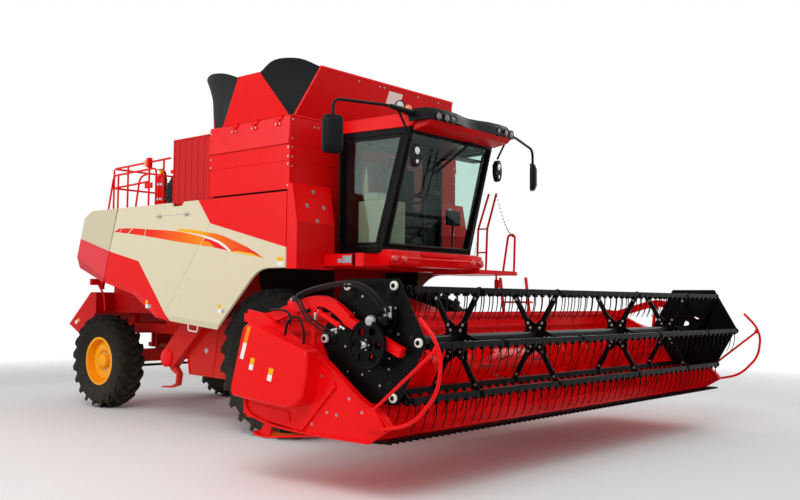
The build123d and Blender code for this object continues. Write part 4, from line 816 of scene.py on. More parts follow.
class HARVESTER_OT_tank(bpy.types.Operator):
    """Dress the grain tank: banded side sheets, folded edges, arched rubber corners, hinges and bolts"""
    bl_idname = "harvester.tank"
    bl_label = "Grain tank"

    def execute(self, context):
        bm = bmesh.new()
        for side in (1, -1):
            for fan in (FRONT_FAN, REAR_FAN):
                add_fan(bm, *fan, side)
        corners = piece(bm, "rubber_corners", "rubber", "chassis", 50)
        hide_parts("extension_corners")

        for name, side in SIDES:
            def place(a, b, d):
                lean = 0.022 * (3.44 - b) / 0.304 if b > 3.137 else 0
                return P(a, side * (TANK_Y + lean - d), b)

            for band, (z0, z1), key in (("low", (2.652, 2.957), "red"), ("middle", (2.960, 3.136), "red"),
                                        ("upper", (3.1375, 3.440), "red_pale")):
                lone(f"tank_band_{band}_{name}", key, "chassis", None, add_panel,
                     [(TANK_X[0], z0), (TANK_X[1], z0), (TANK_X[1], z1), (TANK_X[0], z1)], [0.002] * 4, place,
                     0.003, 0.026 if band == "upper" else 0.008)
            # Painted shade: a near-black strip in the slot between the side cover and the tank's side sheet
            lone(f"tank_slot_{name}", "dark", "chassis", None, side_prism,
                 [(-0.98, 2.628), (0.29, 2.628), (0.29, 2.650), (-0.98, 2.650)], side * 1.40,
                 side * (TANK_Y + 0.0005))
            # Hinges of the side sheet and its turned-over edges
            bm = bmesh.new()
            for x in HINGE_X:
                side_box(bm, side, (x - 0.055, x + 0.055), (1.452, 1.474), (3.405, 3.437), 0.004)
                add_tube(bm, [P(x + dx, side * 1.466, 3.446) for dx in (-0.06, 0.06)], 0.009)
                side_box(bm, side, (x - 0.018, x + 0.018), (1.46, 1.485), (3.35, 3.405), 0.003)
            rim = [(FLAP_FOOT[0], -1.45, 3.45), (-0.400, -1.58, 3.93), (-0.060, -1.58, 3.93),
                   (FLAP_FOOT[1], -1.45, 3.45)]
            add_tube(bm, [P(x, -side * y, z) for x, y, z in rim], 0.009, steps=6)
            piece(bm, f"side_sheet_edges_{name}", "red", "chassis", 40)
            spots = [(P(0.285, side * (TANK_Y + 0.0035), z), (0, side, 0)) for z in (2.69, 2.92, 3.00, 3.10)]
            spots += [(P(-1.03, side * (TANK_Y + 0.0035), z), (0, side, 0)) for z in (2.99, 3.08, 3.2, 3.38)]
            spots += [(P(x + dx, side * 1.476, 3.362), (0, side, 0)) for x in HINGE_X for dx in (-0.03, 0.03)]
            bolts(f"tank_bolts_{name}", spots, "chassis", MAT["zinc"], context.scene.harvester_sizes.bolt)

        bm = bmesh.new()
        for rim in ([(0.300, -1.39, 3.45), (0.450, -1.15, 4.0), (0.450, 1.15, 4.0), (0.300, 1.39, 3.45)],
                    [(-1.050, 1.39, 3.45), (-1.400, 1.15, 4.04), (-1.400, -1.15, 4.04),
                     (-1.050, -1.39, 3.45)]):
            add_tube(bm, [P(*point) for point in rim], 0.016, steps=6)
        add_tube(bm, [P(0.306, -1.42, 3.445), P(0.306, 1.42, 3.445)], 0.012, steps=8)
        piece(bm, "end_sheet_edges", "red", "chassis", 40)
        # Facing sheets on the front wall, which the light only grazes, and on the front leaning sheet
        bm = bmesh.new()
        for z0, z1 in ((2.66, 2.945), (2.955, 3.125), (3.135, 3.435)):
            add_box(bm, P(0.300, -1.445, z0), P(0.307, 1.445, z1), 0.002)
        ring = [P(0.3095, -1.37, 3.46), P(0.3095, 1.37, 3.46), P(0.4525, 1.155, 3.985),
                P(0.4525, -1.155, 3.985)]
        add_prism(bm, ring, Vector((0.004, 0, -0.001)))
        piece(bm, "front_sheets", "red_deep", "chassis")
        bm = bmesh.new()
        ring = [P(0.4455, -0.022, 3.937), P(0.4455, 0.220, 3.937), P(0.4055, 0.202, 3.788),
                P(0.4055, -0.045, 3.788)]
        add_prism(bm, ring, Vector((0.003, 0, -0.0008)))
        piece(bm, "blank_plate", "label_white", "chassis")
        spots = [(P(0.309, y, z), (1, 0, 0))
                 for z in (2.70, 2.90, 3.00, 3.10, 3.2, 3.40) for y in (-1.42, 1.42)]
        spots += [(P(0.309, y, 3.36), (1, 0, 0)) for y in (-1.1, -1.04, -0.5, -0.44, 0.44, 0.5, 1.04, 1.1)]
        spots += [(P(0.4525, y, 3.955), (0.96, 0, -0.26)) for y in (-0.55, -0.20, -0.12, 0.5, 0.9)]
        bolts("front_bolts", spots, "chassis", MAT["zinc"], context.scene.harvester_sizes.bolt)
        return {"FINISHED"}


DECK_Z = 2.600
RAIL_Y = 1.380
RAIL_R = 0.013
SCREEN_X = (-1.762, -1.056)


class HARVESTER_OT_deck(bpy.types.Operator):
    """Dress the rear deck: screen frame, air duct, rails, extinguisher and marker lamp"""
    bl_idname = "harvester.deck"
    bl_label = "Rear deck"

    def execute(self, context):
        bm = bmesh.new()
        rear, front = SCREEN_X
        for x0, x1, z0, z1 in ((rear, rear + 0.022, 2.605, 3.388), (front - 0.022, front, 2.605, 3.388),
                               (rear, front, 3.368, 3.392), (rear, front, 2.605, 2.625)):
            add_box(bm, P(x0, -1.456, z0), P(x1, -1.448, z1), 0.002)
        for i in range(1, 6):
            x = rear + i * 0.118
            add_box(bm, P(x - 0.004, -1.4545, 2.62), P(x + 0.004, -1.449, 3.37), 0.001)
        piece(bm, "screen_frame", "red_deep", "chassis")
        # Black moulded duct that curves down from the radiator box, and its clamps
        bm = bmesh.new()
        duct = ((-1.755, 2.90), (-1.82, 2.90), (-1.90, 2.84), (-1.925, 2.76), (-1.90, 2.68), (-1.84, 2.61))
        line = smooth_line([P(x, -1.28, z) for x, z in duct], 4)
        add_tube(bm, line, 0.13, steps=20)
        for i in range(2, len(line) - 1, 3):
            way = (line[i + 1] - line[i]).normalized()
            add_tube(bm, [line[i] - way * 0.008, line[i] + way * 0.008], 0.137, steps=20)
        piece(bm, "air_duct", "plastic", "chassis", 40)

        # Rails: two loops round the deck, their posts, and bent grab rails outside
        bm = bmesh.new()
        rear = -3.16
        for z, front in ((3.170, -1.93), (2.915, -2.40)):
            loop = [P(front, -RAIL_Y, z + 0.03), P(rear, -RAIL_Y, z), P(rear, RAIL_Y, z),
                    P(front, RAIL_Y, z + 0.03)]
            add_tube(bm, bent(loop, 0.05), RAIL_R)
        for side in (-1, 1):
            for x, z in ((rear, 3.16), (-2.840, 3.175), (-2.370, 3.23), (-2.060, 3.185)):
                foot = P(x, side * RAIL_Y, DECK_Z if x > -2.88 else 2.625)
                add_tube(bm, [foot, P(x, side * RAIL_Y, z)], RAIL_R)
                add_lathe(bm, [(0, RAIL_R), (0, 0.035), (0.010, 0.035), (0.016, 0.02), (0.016, RAIL_R)], foot,
                          (0, 0, 1), 16)
            outer = side * (RAIL_Y + 0.03)
            grab = [P(-3.235, outer, 2.62), P(-3.12, outer, 3.075), P(-2.19, side * (RAIL_Y + 0.02), 3.10),
                    P(-2.19, side * (RAIL_Y + 0.02), DECK_Z)]
            add_tube(bm, bent(grab, 0.07), RAIL_R)
            add_tube(bm, [P(-3.013, outer, 2.62), P(-3.013, outer, 3.07)], RAIL_R)
            grab = [P(-2.66, side * RAIL_Y, DECK_Z), P(-2.57, side * RAIL_Y, 3.02),
                    P(-2.37, side * RAIL_Y, 3.05)]
            add_tube(bm, bent(grab, 0.09), RAIL_R)
            side_box(bm, side, (-2.455, -2.30), (RAIL_Y - 0.01, RAIL_Y + 0.01), (2.86, 2.93), 0.004)
            side_box(bm, side, (-1.84, -1.757), (1.34, 1.44), (2.995, 3.04), 0.006)
        add_box(bm, P(-2.395, -RAIL_Y - 0.03, 3.12), P(-2.345, -RAIL_Y + 0.03, 3.245), 0.006)
        # Extinguisher bottle in its bracket
        post = P(-2.215, -1.30, 0)
        add_lathe(bm, [(2.605, 0), (2.605, 0.064), (2.615, 0.070), (2.975, 0.070), (3.00, 0.060),
                       (3.018, 0.036), (3.025, 0.018), (3.045, 0.018), (3.045, 0)], post, (0, 0, 1), 28)
        rails = piece(bm, "deck_rail_loops", "red", "chassis", 40)
        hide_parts("deck_rails")
        bm = bmesh.new()
        for z in (2.70, 2.885):
            add_lathe(bm, [(z, 0.0715), (z + 0.028, 0.0715)], post, (0, 0, 1), 28)
        piece(bm, "extinguisher_bands", "zinc", "chassis", 40)
        lone("extinguisher_valve", "label_yellow", "chassis", None, add_box,
             post + Vector((-0.02, -0.025, 3.040)), post + Vector((0.02, 0.025, 3.085)), 0.004)
        lone("extinguisher_gauge", "label_white", "chassis", 40, add_tube,
             [post + Vector((-0.02, -0.064, 2.805)), post + Vector((-0.02, -0.072, 2.805))], 0.022)
        bm = bmesh.new()
        add_box(bm, post + Vector((-0.11, -0.012, 3.092)), post + Vector((0.03, 0.012, 3.102)), 0.003)
        hose = ((0.02, 3.07), (0.075, 3.05), (0.088, 2.95), (0.082, 2.80))
        add_tube(bm, smooth_line([post + Vector((x, 0, z)) for x, z in hose]), 0.010)
        piece(bm, "extinguisher_lever", "plastic", "chassis", 40)
        lone("marker_lamp", "amber", "chassis", 40, add_box, P(-2.440, -RAIL_Y - 0.028, 3.135),
             P(-2.397, -RAIL_Y + 0.028, 3.225), 0.008)
        return {"FINISHED"}


BEACON = (1.385, -0.79)
SCREEN_Y = 0.715
SCREEN_Z = (2.08, 3.245)


def windscreen(y, z, out=0.0):
    """Point on the windscreen's outer face, pushed out by a distance."""
    lean = 0.345 / 1.255
    return P(1.040 + lean * (z - 2.045) + out, y, z)


def add_lamp(bowls, lenses, centre, way, radius, depth=0.05):
    """Round work lamp: a black bowl in one mesh and its lens in another."""
    way = Vector(way).normalized()
    add_lathe(bowls, [(-depth, 0), (-depth, radius * 0.6), (-depth * 0.3, radius), (0.006, radius),
                      (0.006, radius * 0.86), (-0.004, radius * 0.84), (-0.004, 0)], centre, way, 24)
    add_lathe(lenses, [(0, radius * 0.84), (0.006, radius * 0.5), (0.008, 0)], centre, way, 24)


class HARVESTER_OT_cab(bpy.types.Operator):
    """Dress the cab: brow with its lamps, mirrors, beacon, wiper, pillar lamps, bumper and inside"""
    bl_idname = "harvester.cab"
    bl_label = "Cab"

    def execute(self, context):
        black, glassy, smoked = bmesh.new(), bmesh.new(), bmesh.new()
        # Brow: a shallow roof that swells over each lamp trio and narrows in the middle
        top = [(1.40, 0.79), (1.52, 0.80), (1.655, 0.775), (1.70, 0.70), (1.72, 0.50), (1.705, 0.30),
               (1.66, 0.14), (1.64, 0)]
        outline = top + [(x, -y) for x, y in top[-2::-1]]
        for z0, z1, shrink in ((3.345, 3.425, 0), (3.425, 3.475, 0.06)):
            rows = []
            for z, back, narrow in ((z0, 0, 1), (z1, 0.03, 0.985)):
                rows.append([black.verts.new(P(x - shrink * 0.6 - back, y * (1 - shrink * 0.3) * narrow, z))
                             for x, y in outline])
            bridge(black, rows)
        for ys in ((-0.665, -0.545, -0.425), (0.425, 0.545, 0.665)):
            for y in ys:
                add_lamp(black, smoked, P(1.712 - abs(abs(y) - 0.545) * 0.12, y, 3.378), (1, 0.15 * y, -0.12),
                         0.05)
        # Pillar lamps: an oval pod with a large and a small lens
        for side in (-1, 1):
            pod = P(1.425, side * 0.745, 2.99)
            ring = [pod + Vector((0, math.cos(t) * 0.062, math.sin(t) * 0.125)) for t in
                    (2 * math.pi * k / 20 for k in range(20))]
            add_prism(black, ring, Vector((0.05, 0, 0)))
            for z, radius in ((0.045, 0.05), (-0.068, 0.03)):
                add_lamp(black, glassy, pod + Vector((0.052, 0, z)), (1, side * 0.1, -0.05), radius, 0.04)
            add_tube(black, [P(1.40, side * 0.72, 3.05), P(1.44, side * 0.745, 3.05)], 0.018)
        # Mirror arms, braces, ball joints and mirror shells
        for name, side, reach, top, half in (("right", -1, 1.845, 0.037, 0.19), ("left", 1, 1.68, 0, 0.17)):
            knee, hang = P(1.42, side * 1.15, 3.45), P(1.335, side * (reach + 0.01), 3.10 + top)
            line = bent([P(1.45, side * 0.74, 3.42), knee, P(1.34, side * reach, 3.37 + top), hang], 0.09)
            add_tube(black, line, 0.016)
            add_tube(black, [line[0], line[0].lerp(knee, 0.9)], [0.036, 0.024])
            add_tube(black, [P(1.425, side * 1.0, 3.43), P(1.43, side * 0.78, 3.14)], 0.012)
            add_tube(black, [hang, hang - Vector((0, 0, 0.06))], [0.026, 0.018])
            wide, out = Vector((0.5, -side * 0.866, 0)), Vector((0.866, side * 0.5, 0))
            centre = P(1.33, side * reach, 3.03 + top)
            ring = rounded([centre + wide * a + Vector((0, 0, b)) for a, b in
                            ((-0.105, -half), (0.105, -half), (0.105, half), (-0.105, half))], 0.055)
            middle = sum(ring, Vector()) / len(ring)
            rows = []
            for d, shrink in ((-0.022, 0.97), (0.0, 1.0), (0.03, 0.96), (0.05, 0.8), (0.058, 0.5)):
                rows.append([black.verts.new(middle + (p - middle) * shrink + out * d) for p in ring])
            bridge(black, rows)
            for a in (-0.035, 0.0, 0.035):
                rib = middle + wide * a + out * 0.052
                add_tube(black, [rib - Vector((0, 0, half * 0.62)), rib + Vector((0, 0, half * 0.62))], 0.010,
                         steps=8)
            pane = bmesh.new()
            add_prism(pane, [middle + (p - middle) * 0.9 - out * 0.0215 for p in ring], out * -0.002)
            piece(pane, f"mirror_pane_{name}", "mirror", "chassis")
        # Work lamp beside the beacon, and the beacon's foot
        add_lamp(black, glassy, P(1.30, -0.82, 3.515), (1, -0.35, -0.1), 0.058)
        add_tube(black, [P(1.29, -0.80, 3.42), P(1.28, -0.81, 3.50)], 0.012)
        add_lathe(black, [(3.42, 0), (3.42, 0.045), (3.445, 0.045), (3.445, 0)], P(*BEACON, 0), (0, 0, 1), 20)
        # Wiper's pair of arms with its motor box, and its blade
        for y0, y1 in ((0.30, -0.22), (0.26, -0.25)):
            add_tube(black, [windscreen(y0, 3.262, 0.03), windscreen(y1, 2.86, 0.035)], 0.008)
        add_box(black, windscreen(0.24, 3.255, 0.01), windscreen(0.36, 3.295, 0.05), 0.006)
        add_tube(black, [windscreen(-0.25, 3.13, 0.03), windscreen(-0.262, 2.85, 0.03),
                         windscreen(-0.285, 2.58, 0.03)], 0.011, steps=6)
        # Upright grab bar on the right pillar and rubber seals round the panes
        add_tube(black, bent([P(0.515, -0.87, 3.22), P(0.515, -0.905, 3.20), P(0.515, -0.905, 2.12),
                              P(0.515, -0.87, 2.10)], 0.03), 0.011)
        for y in (-SCREEN_Y, SCREEN_Y):
            add_tube(black, [windscreen(y, z, 0.006) for z in SCREEN_Z], 0.016, steps=6)
        for z in SCREEN_Z:
            add_tube(black, [windscreen(y, z, 0.006) for y in (-SCREEN_Y, SCREEN_Y)], 0.014, steps=6)
        brow = piece(black, "brow", "plastic", "chassis", 35)
        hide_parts("cab_brow")
        piece(glassy, "lamp_lenses", "lens", "chassis", 40)
        piece(smoked, "brow_lamp_lenses", "smoked", "chassis", 40)
        lone("beacon", "amber", "chassis", 40, add_lathe,
             [(3.445, 0), (3.445, 0.036), (3.49, 0.034), (3.512, 0.022), (3.52, 0)], P(*BEACON, 0), (0, 0, 1),
             24)
        bm = bmesh.new()
        side_prism(bm, [(1.445, 3.345), (1.655, 3.345), (1.60, 3.295), (1.41, 3.262)], -0.735, 0.735)
        piece(bm, "brow_strip", "red_deep", "chassis")

        # Inside: moulded armrest, monitor, lever, headrest and a dark sun shade at the top of the screen
        bm = bmesh.new()
        add_box(bm, P(0.56, -0.66, 2.06), P(0.95, -0.30, 2.57), 0.02)
        add_box(bm, P(0.60, -0.62, 2.57), P(0.80, -0.36, 2.66), 0.02)
        add_prism(bm, [P(0.60, -0.62, 2.66), P(0.60, -0.55, 2.66), P(0.60, -0.585, 2.95)],
                  Vector((0.02, 0, 0)))
        piece(bm, "armrest", "console", "chassis")
        bm = bmesh.new()
        add_box(bm, P(1.05, 0.28, 2.35), P(1.09, 0.52, 2.52), 0.01)
        add_tube(bm, [P(1.06, 0.40, 2.10), P(1.07, 0.40, 2.36)], 0.012)
        add_box(bm, P(1.13, -0.70, 3.10), P(1.30, 0.70, 3.115), 0.004)
        add_box(bm, P(0.70, -0.33, 2.60), P(0.76, -0.31, 2.80), 0.008)
        add_box(bm, P(0.545, -0.15, 2.97), P(0.60, 0.15, 3.12), 0.02)
        piece(bm, "cab_fittings", "plastic", "chassis", 30)

        # Bumper: stepped centre, side mouldings with two red lenses each, and the boxes under the right door
        bm = bmesh.new()
        moulding = ((0.30, 2.010), (0.80, 2.000), (0.86, 1.900), (0.80, 1.862), (0.36, 1.866))
        for side in (-1, 1):
            add_prism(bm, [P(1.170, side * y, z) for y, z in moulding], Vector((0.022, 0, 0)))
        ring = [P(1.172, y, z) for y, z in ((-0.27, 1.955), (0.27, 1.955), (0.34, 1.99), (0.30, 2.012),
                                            (-0.30, 2.012), (-0.34, 1.99))]
        add_prism(bm, ring, Vector((0.03, 0, 0)))
        bmesh.ops.bevel(bm, geom=list(bm.edges), offset=0.006, segments=2, affect="EDGES", profile=0.5)
        piece(bm, "bumper_mouldings", "red", "chassis", 30)
        bm = bmesh.new()
        for side in (-1, 1):
            r = 0.045
            for y in (0.776, 0.614):
                add_lathe(bm, [(0.0, r), (0.012, r), (0.030, r * 0.7), (0.036, 0)], P(1.188, side * y, 1.925),
                          (1, 0, 0), 24)
        piece(bm, "reflectors", "reflector", "chassis", 40)
        bm = bmesh.new()
        add_box(bm, P(0.50, -1.106, 1.842), P(0.905, -1.099, 1.962), 0.004)
        add_box(bm, P(0.945, -1.106, 1.83), P(1.06, -1.08, 1.97), 0.006)
        piece(bm, "step_boxes", "red", "chassis")
        bm = bmesh.new()
        add_box(bm, P(0.70, -1.110, 1.873), P(0.76, -1.1065, 1.915), 0.001)
        add_box(bm, P(0.77, -1.110, 1.868), P(0.895, -1.1065, 1.945), 0.001)
        piece(bm, "blank_plates", "label_grey", "chassis")
        # Painted shade in the gap between the two step boxes
        lone("box_gap", "dark", "chassis", None, add_box, P(0.908, -1.104, 1.842), P(0.942, -1.096, 1.962))
        spots = [(P(x, y * side, z), (0.98, 0, 0.19)) for side in (-1, 1) for x, y, z in
                 ((0.412, 1.204, 2.633), (0.442, 1.32, 2.477), (0.443, 1.074, 2.471), (0.473, 1.195, 2.318))]
        bolts("front_box_bolts", spots, "chassis", MAT["zinc"], 0.016, 0.012)
        # Painted shade: sheets in the shaded deeper red over the front box's faces
        bm = bmesh.new()
        for side in (-1, 1):
            ring = [P(0.4765, side * y, z) for y, z in ((1.487, 1.815), (0.945, 1.815), (0.945, 2.292),
                                                        (1.487, 2.292))]
            add_prism(bm, ring if side > 0 else ring[::-1], Vector((0.004, 0, 0)))
        piece(bm, "front_box_faces", "red_deep", "chassis")
        return {"FINISHED"}


# Header and reel places as (distance ahead of the front axle, height)
HEADER_HALF = 3.050
AUGER = (1.985, 0.840)
REEL = (2.935, 1.156)
REEL_SHIFT = (-0.068, 0.026)
REEL_R = 0.470
CONTROL = (REEL[0] + REEL_SHIFT[0], REEL[1] + REEL_SHIFT[1])
SIXTHS = [math.radians(60 * i) for i in range(6)]
SPIDER_Y = (-2.0, -0.79, 0.79, 2.0)
PLATE_Y = 2.951
ARM_Y = 3.005
COVER_RING = [(1.700, 1.300), (2.424, 1.093), (2.448, 1.012), (2.394, 0.721), (2.244, 0.647), (1.560, 0.700),
              (1.545, 0.760)]


def about(middle, radius, angle, y):
    """Point at a radius and an angle about a crosswise axis."""
    return P(middle[0] + radius * math.cos(angle), y, middle[1] + radius * math.sin(angle))


def add_flight(bm, y0, y1, pitch, hand, inner=0.148, outer=0.285, steps=20):
    """Helical auger flight along the machine's width."""
    turns = abs(y1 - y0) / pitch
    count = int(turns * steps)
    rows = []
    for k in range(count + 1):
        t = k / count
        angle = hand * 2 * math.pi * turns * t
        y = y0 + (y1 - y0) * t
        section = ((inner, -0.003), (outer, -0.003), (outer, 0.003), (inner, 0.003))
        rows.append([bm.verts.new(about(AUGER, r, angle, y + d)) for r, d in section])
    bridge(bm, rows)


class HARVESTER_OT_header(bpy.types.Operator):
    """Dress the cutting header: rounded covers, dividers, flanges, skids, labels and the helical auger"""
    bl_idname = "harvester.header"
    bl_label = "Header"

    def execute(self, context):
        bm = bmesh.new()
        for side in (-1, 1):
            y0 = side * (HEADER_HALF + 0.150)
            ring = [tuple(p) for p in rounded([Vector(p) for p in COVER_RING], 0.09)]

            def place(a, b, d):
                return P(a, y0 - side * d, b)

            add_panel(bm, ring, [0.012] * len(ring), place, 0.012, 0.144)
            # Divider: bent tube loop, its brace and the foot plate
            y = side * (HEADER_HALF + 0.030)
            loop = bent([P(3.10, y, 0.56), P(3.38, y, 0.62), P(3.60, y, 0.85), P(3.632, y, 1.08),
                         P(3.575, y, 1.22), P(3.44, y, 1.357)], 0.20, 8)
            add_tube(bm, loop, 0.014, steps=14)
            add_tube(bm, [P(3.0, y, 0.68), P(3.59, y, 1.15)], 0.0125, steps=14)
            foot = [(2.96, 0.56), (3.13, 0.545), (3.11, 0.60), (3.02, 0.71), (2.96, 0.70)]
            side_prism(bm, foot, side * (HEADER_HALF + 0.006), side * (HEADER_HALF + 0.042))
            add_tube(bm, [P(3.585, y - 0.012, 1.14), P(3.585, y + 0.012, 1.16)], 0.022)
        covers = piece(bm, "header_side_covers", "red", "header", 40)
        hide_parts("header_covers")

        for name, side in SIDES:
            face = side * (HEADER_HALF + 0.1505)
            rings = (("orange", [(1.752, 1.266), (1.795, 1.262), (1.748, 1.129), (1.705, 1.133)]),
                     ("label_white", [(1.744, 1.127), (1.748, 1.129), (1.704, 0.998), (1.663, 1.003),
                                      (1.705, 1.133)]),
                     ("label_yellow", [(1.801, 1.017), (1.848, 1.008), (1.834, 0.962), (1.788, 0.970)]),
                     ("label_white", [(1.787, 0.967), (1.833, 0.959), (1.821, 0.915), (1.774, 0.923)]),
                     ("label_yellow", [(2.020, 0.947), (2.073, 0.940), (2.058, 0.893), (2.008, 0.900)]),
                     ("label_white", [(2.007, 0.897), (2.057, 0.890), (2.043, 0.840), (1.995, 0.848)]))
            for i, (key, ring) in enumerate(rings):
                lone(f"cover_label_{i}_{name}", key, "header", None, side_prism, ring, face,
                     face + side * 0.0006)
            # Flange along the end sheet's sloping edge, gusset, access plate and skid
            bm = bmesh.new()
            edge = [(1.890, 1.290), (2.269, 1.112), (2.421, 1.052), (2.541, 0.985), (2.660, 0.900),
                    (2.885, 0.745), (3.060, 0.664), (3.159, 0.567)]
            side_prism(bm, smooth_band(edge, 0.014), side * 3.012, side * 3.075)
            side_prism(bm, [(2.26, 0.47), (2.62, 0.83), (2.60, 0.86), (2.20, 0.50)], side * 3.056,
                       side * 3.075)
            side_prism(bm, [(1.56, 0.64), (2.10, 0.60), (2.12, 0.53), (1.62, 0.55)], side * 3.056,
                       side * 3.066)
            lower = [(1.575, 0.680), (1.600, 0.610), (1.660, 0.550), (1.760, 0.512), (1.900, 0.485),
                     (2.100, 0.465), (2.420, 0.452), (2.960, 0.447)]
            side_prism(bm, smooth_band(lower, 0.014), side * 2.90, side * 3.08)
            shoe = [(1.675, 0.404), (1.700, 0.388), (1.760, 0.379), (1.850, 0.380), (2.038, 0.400),
                    (2.422, 0.448)]
            side_prism(bm, smooth_band(shoe, 0.016), side * 2.86, side * 3.06)
            side_prism(bm, [(1.72, 0.395), (1.85, 0.390), (1.88, 0.480), (1.80, 0.500)], side * 3.02,
                       side * 3.035)
            piece(bm, f"end_sheet_edges_header_{name}", "red", "header", 50)
            spots = [(P(x, side * 3.0565, z), (0, side, 0)) for x, z in
                     ((2.46, 0.90), (2.40, 0.62), (2.52, 0.63), (2.62, 0.62), (2.75, 0.75), (2.88, 0.66),
                      (2.36, 0.53), (1.62, 0.62), (1.95, 0.58), (2.08, 0.57))]
            bolts(f"end_sheet_bolts_{name}", spots, "header", MAT["zinc"], 0.008)

        # Auger: tube, flights of either hand that meet at the feeder, and fingers between them
        bm = bmesh.new()
        end, tube = 3.01, 0.15
        add_lathe(bm, [(-end, 0), (-end, tube), (end, tube), (end, 0)], P(AUGER[0], 0, AUGER[1]), (0, 1, 0),
                  36)
        for side in (-1, 1):
            add_flight(bm, side * 2.98, side * 0.42, 0.52, side)
        auger = piece(bm, "helical_auger", "red", "header_auger", 40)
        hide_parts("header_auger")
        bm = bmesh.new()
        for i in range(24):
            angle = i * 2.4
            middle = P(AUGER[0], -0.5 + i / 23, AUGER[1])
            way = Vector((math.cos(angle), 0, math.sin(angle)))
            add_tube(bm, [middle + way * r for r in (0.14, 0.27)], 0.008, steps=8)
        piece(bm, "auger_fingers", "iron", "header_auger", 40)
        # Pressed ribs and long strips on the back wall
        bm = bmesh.new()
        for i in range(11):
            y = -2.75 + i * 0.55
            if abs(y) > 0.45:
                add_box(bm, P(1.612, y - 0.03, 0.60), P(1.622, y + 0.03, 1.30), 0.004)
        for z in (1.20, 1.32):
            add_box(bm, P(1.612, -3.03, z - 0.02), P(1.628, 3.03, z + 0.02), 0.005)
        piece(bm, "back_wall_ribs", "red_deep", "header")
        return {"FINISHED"}


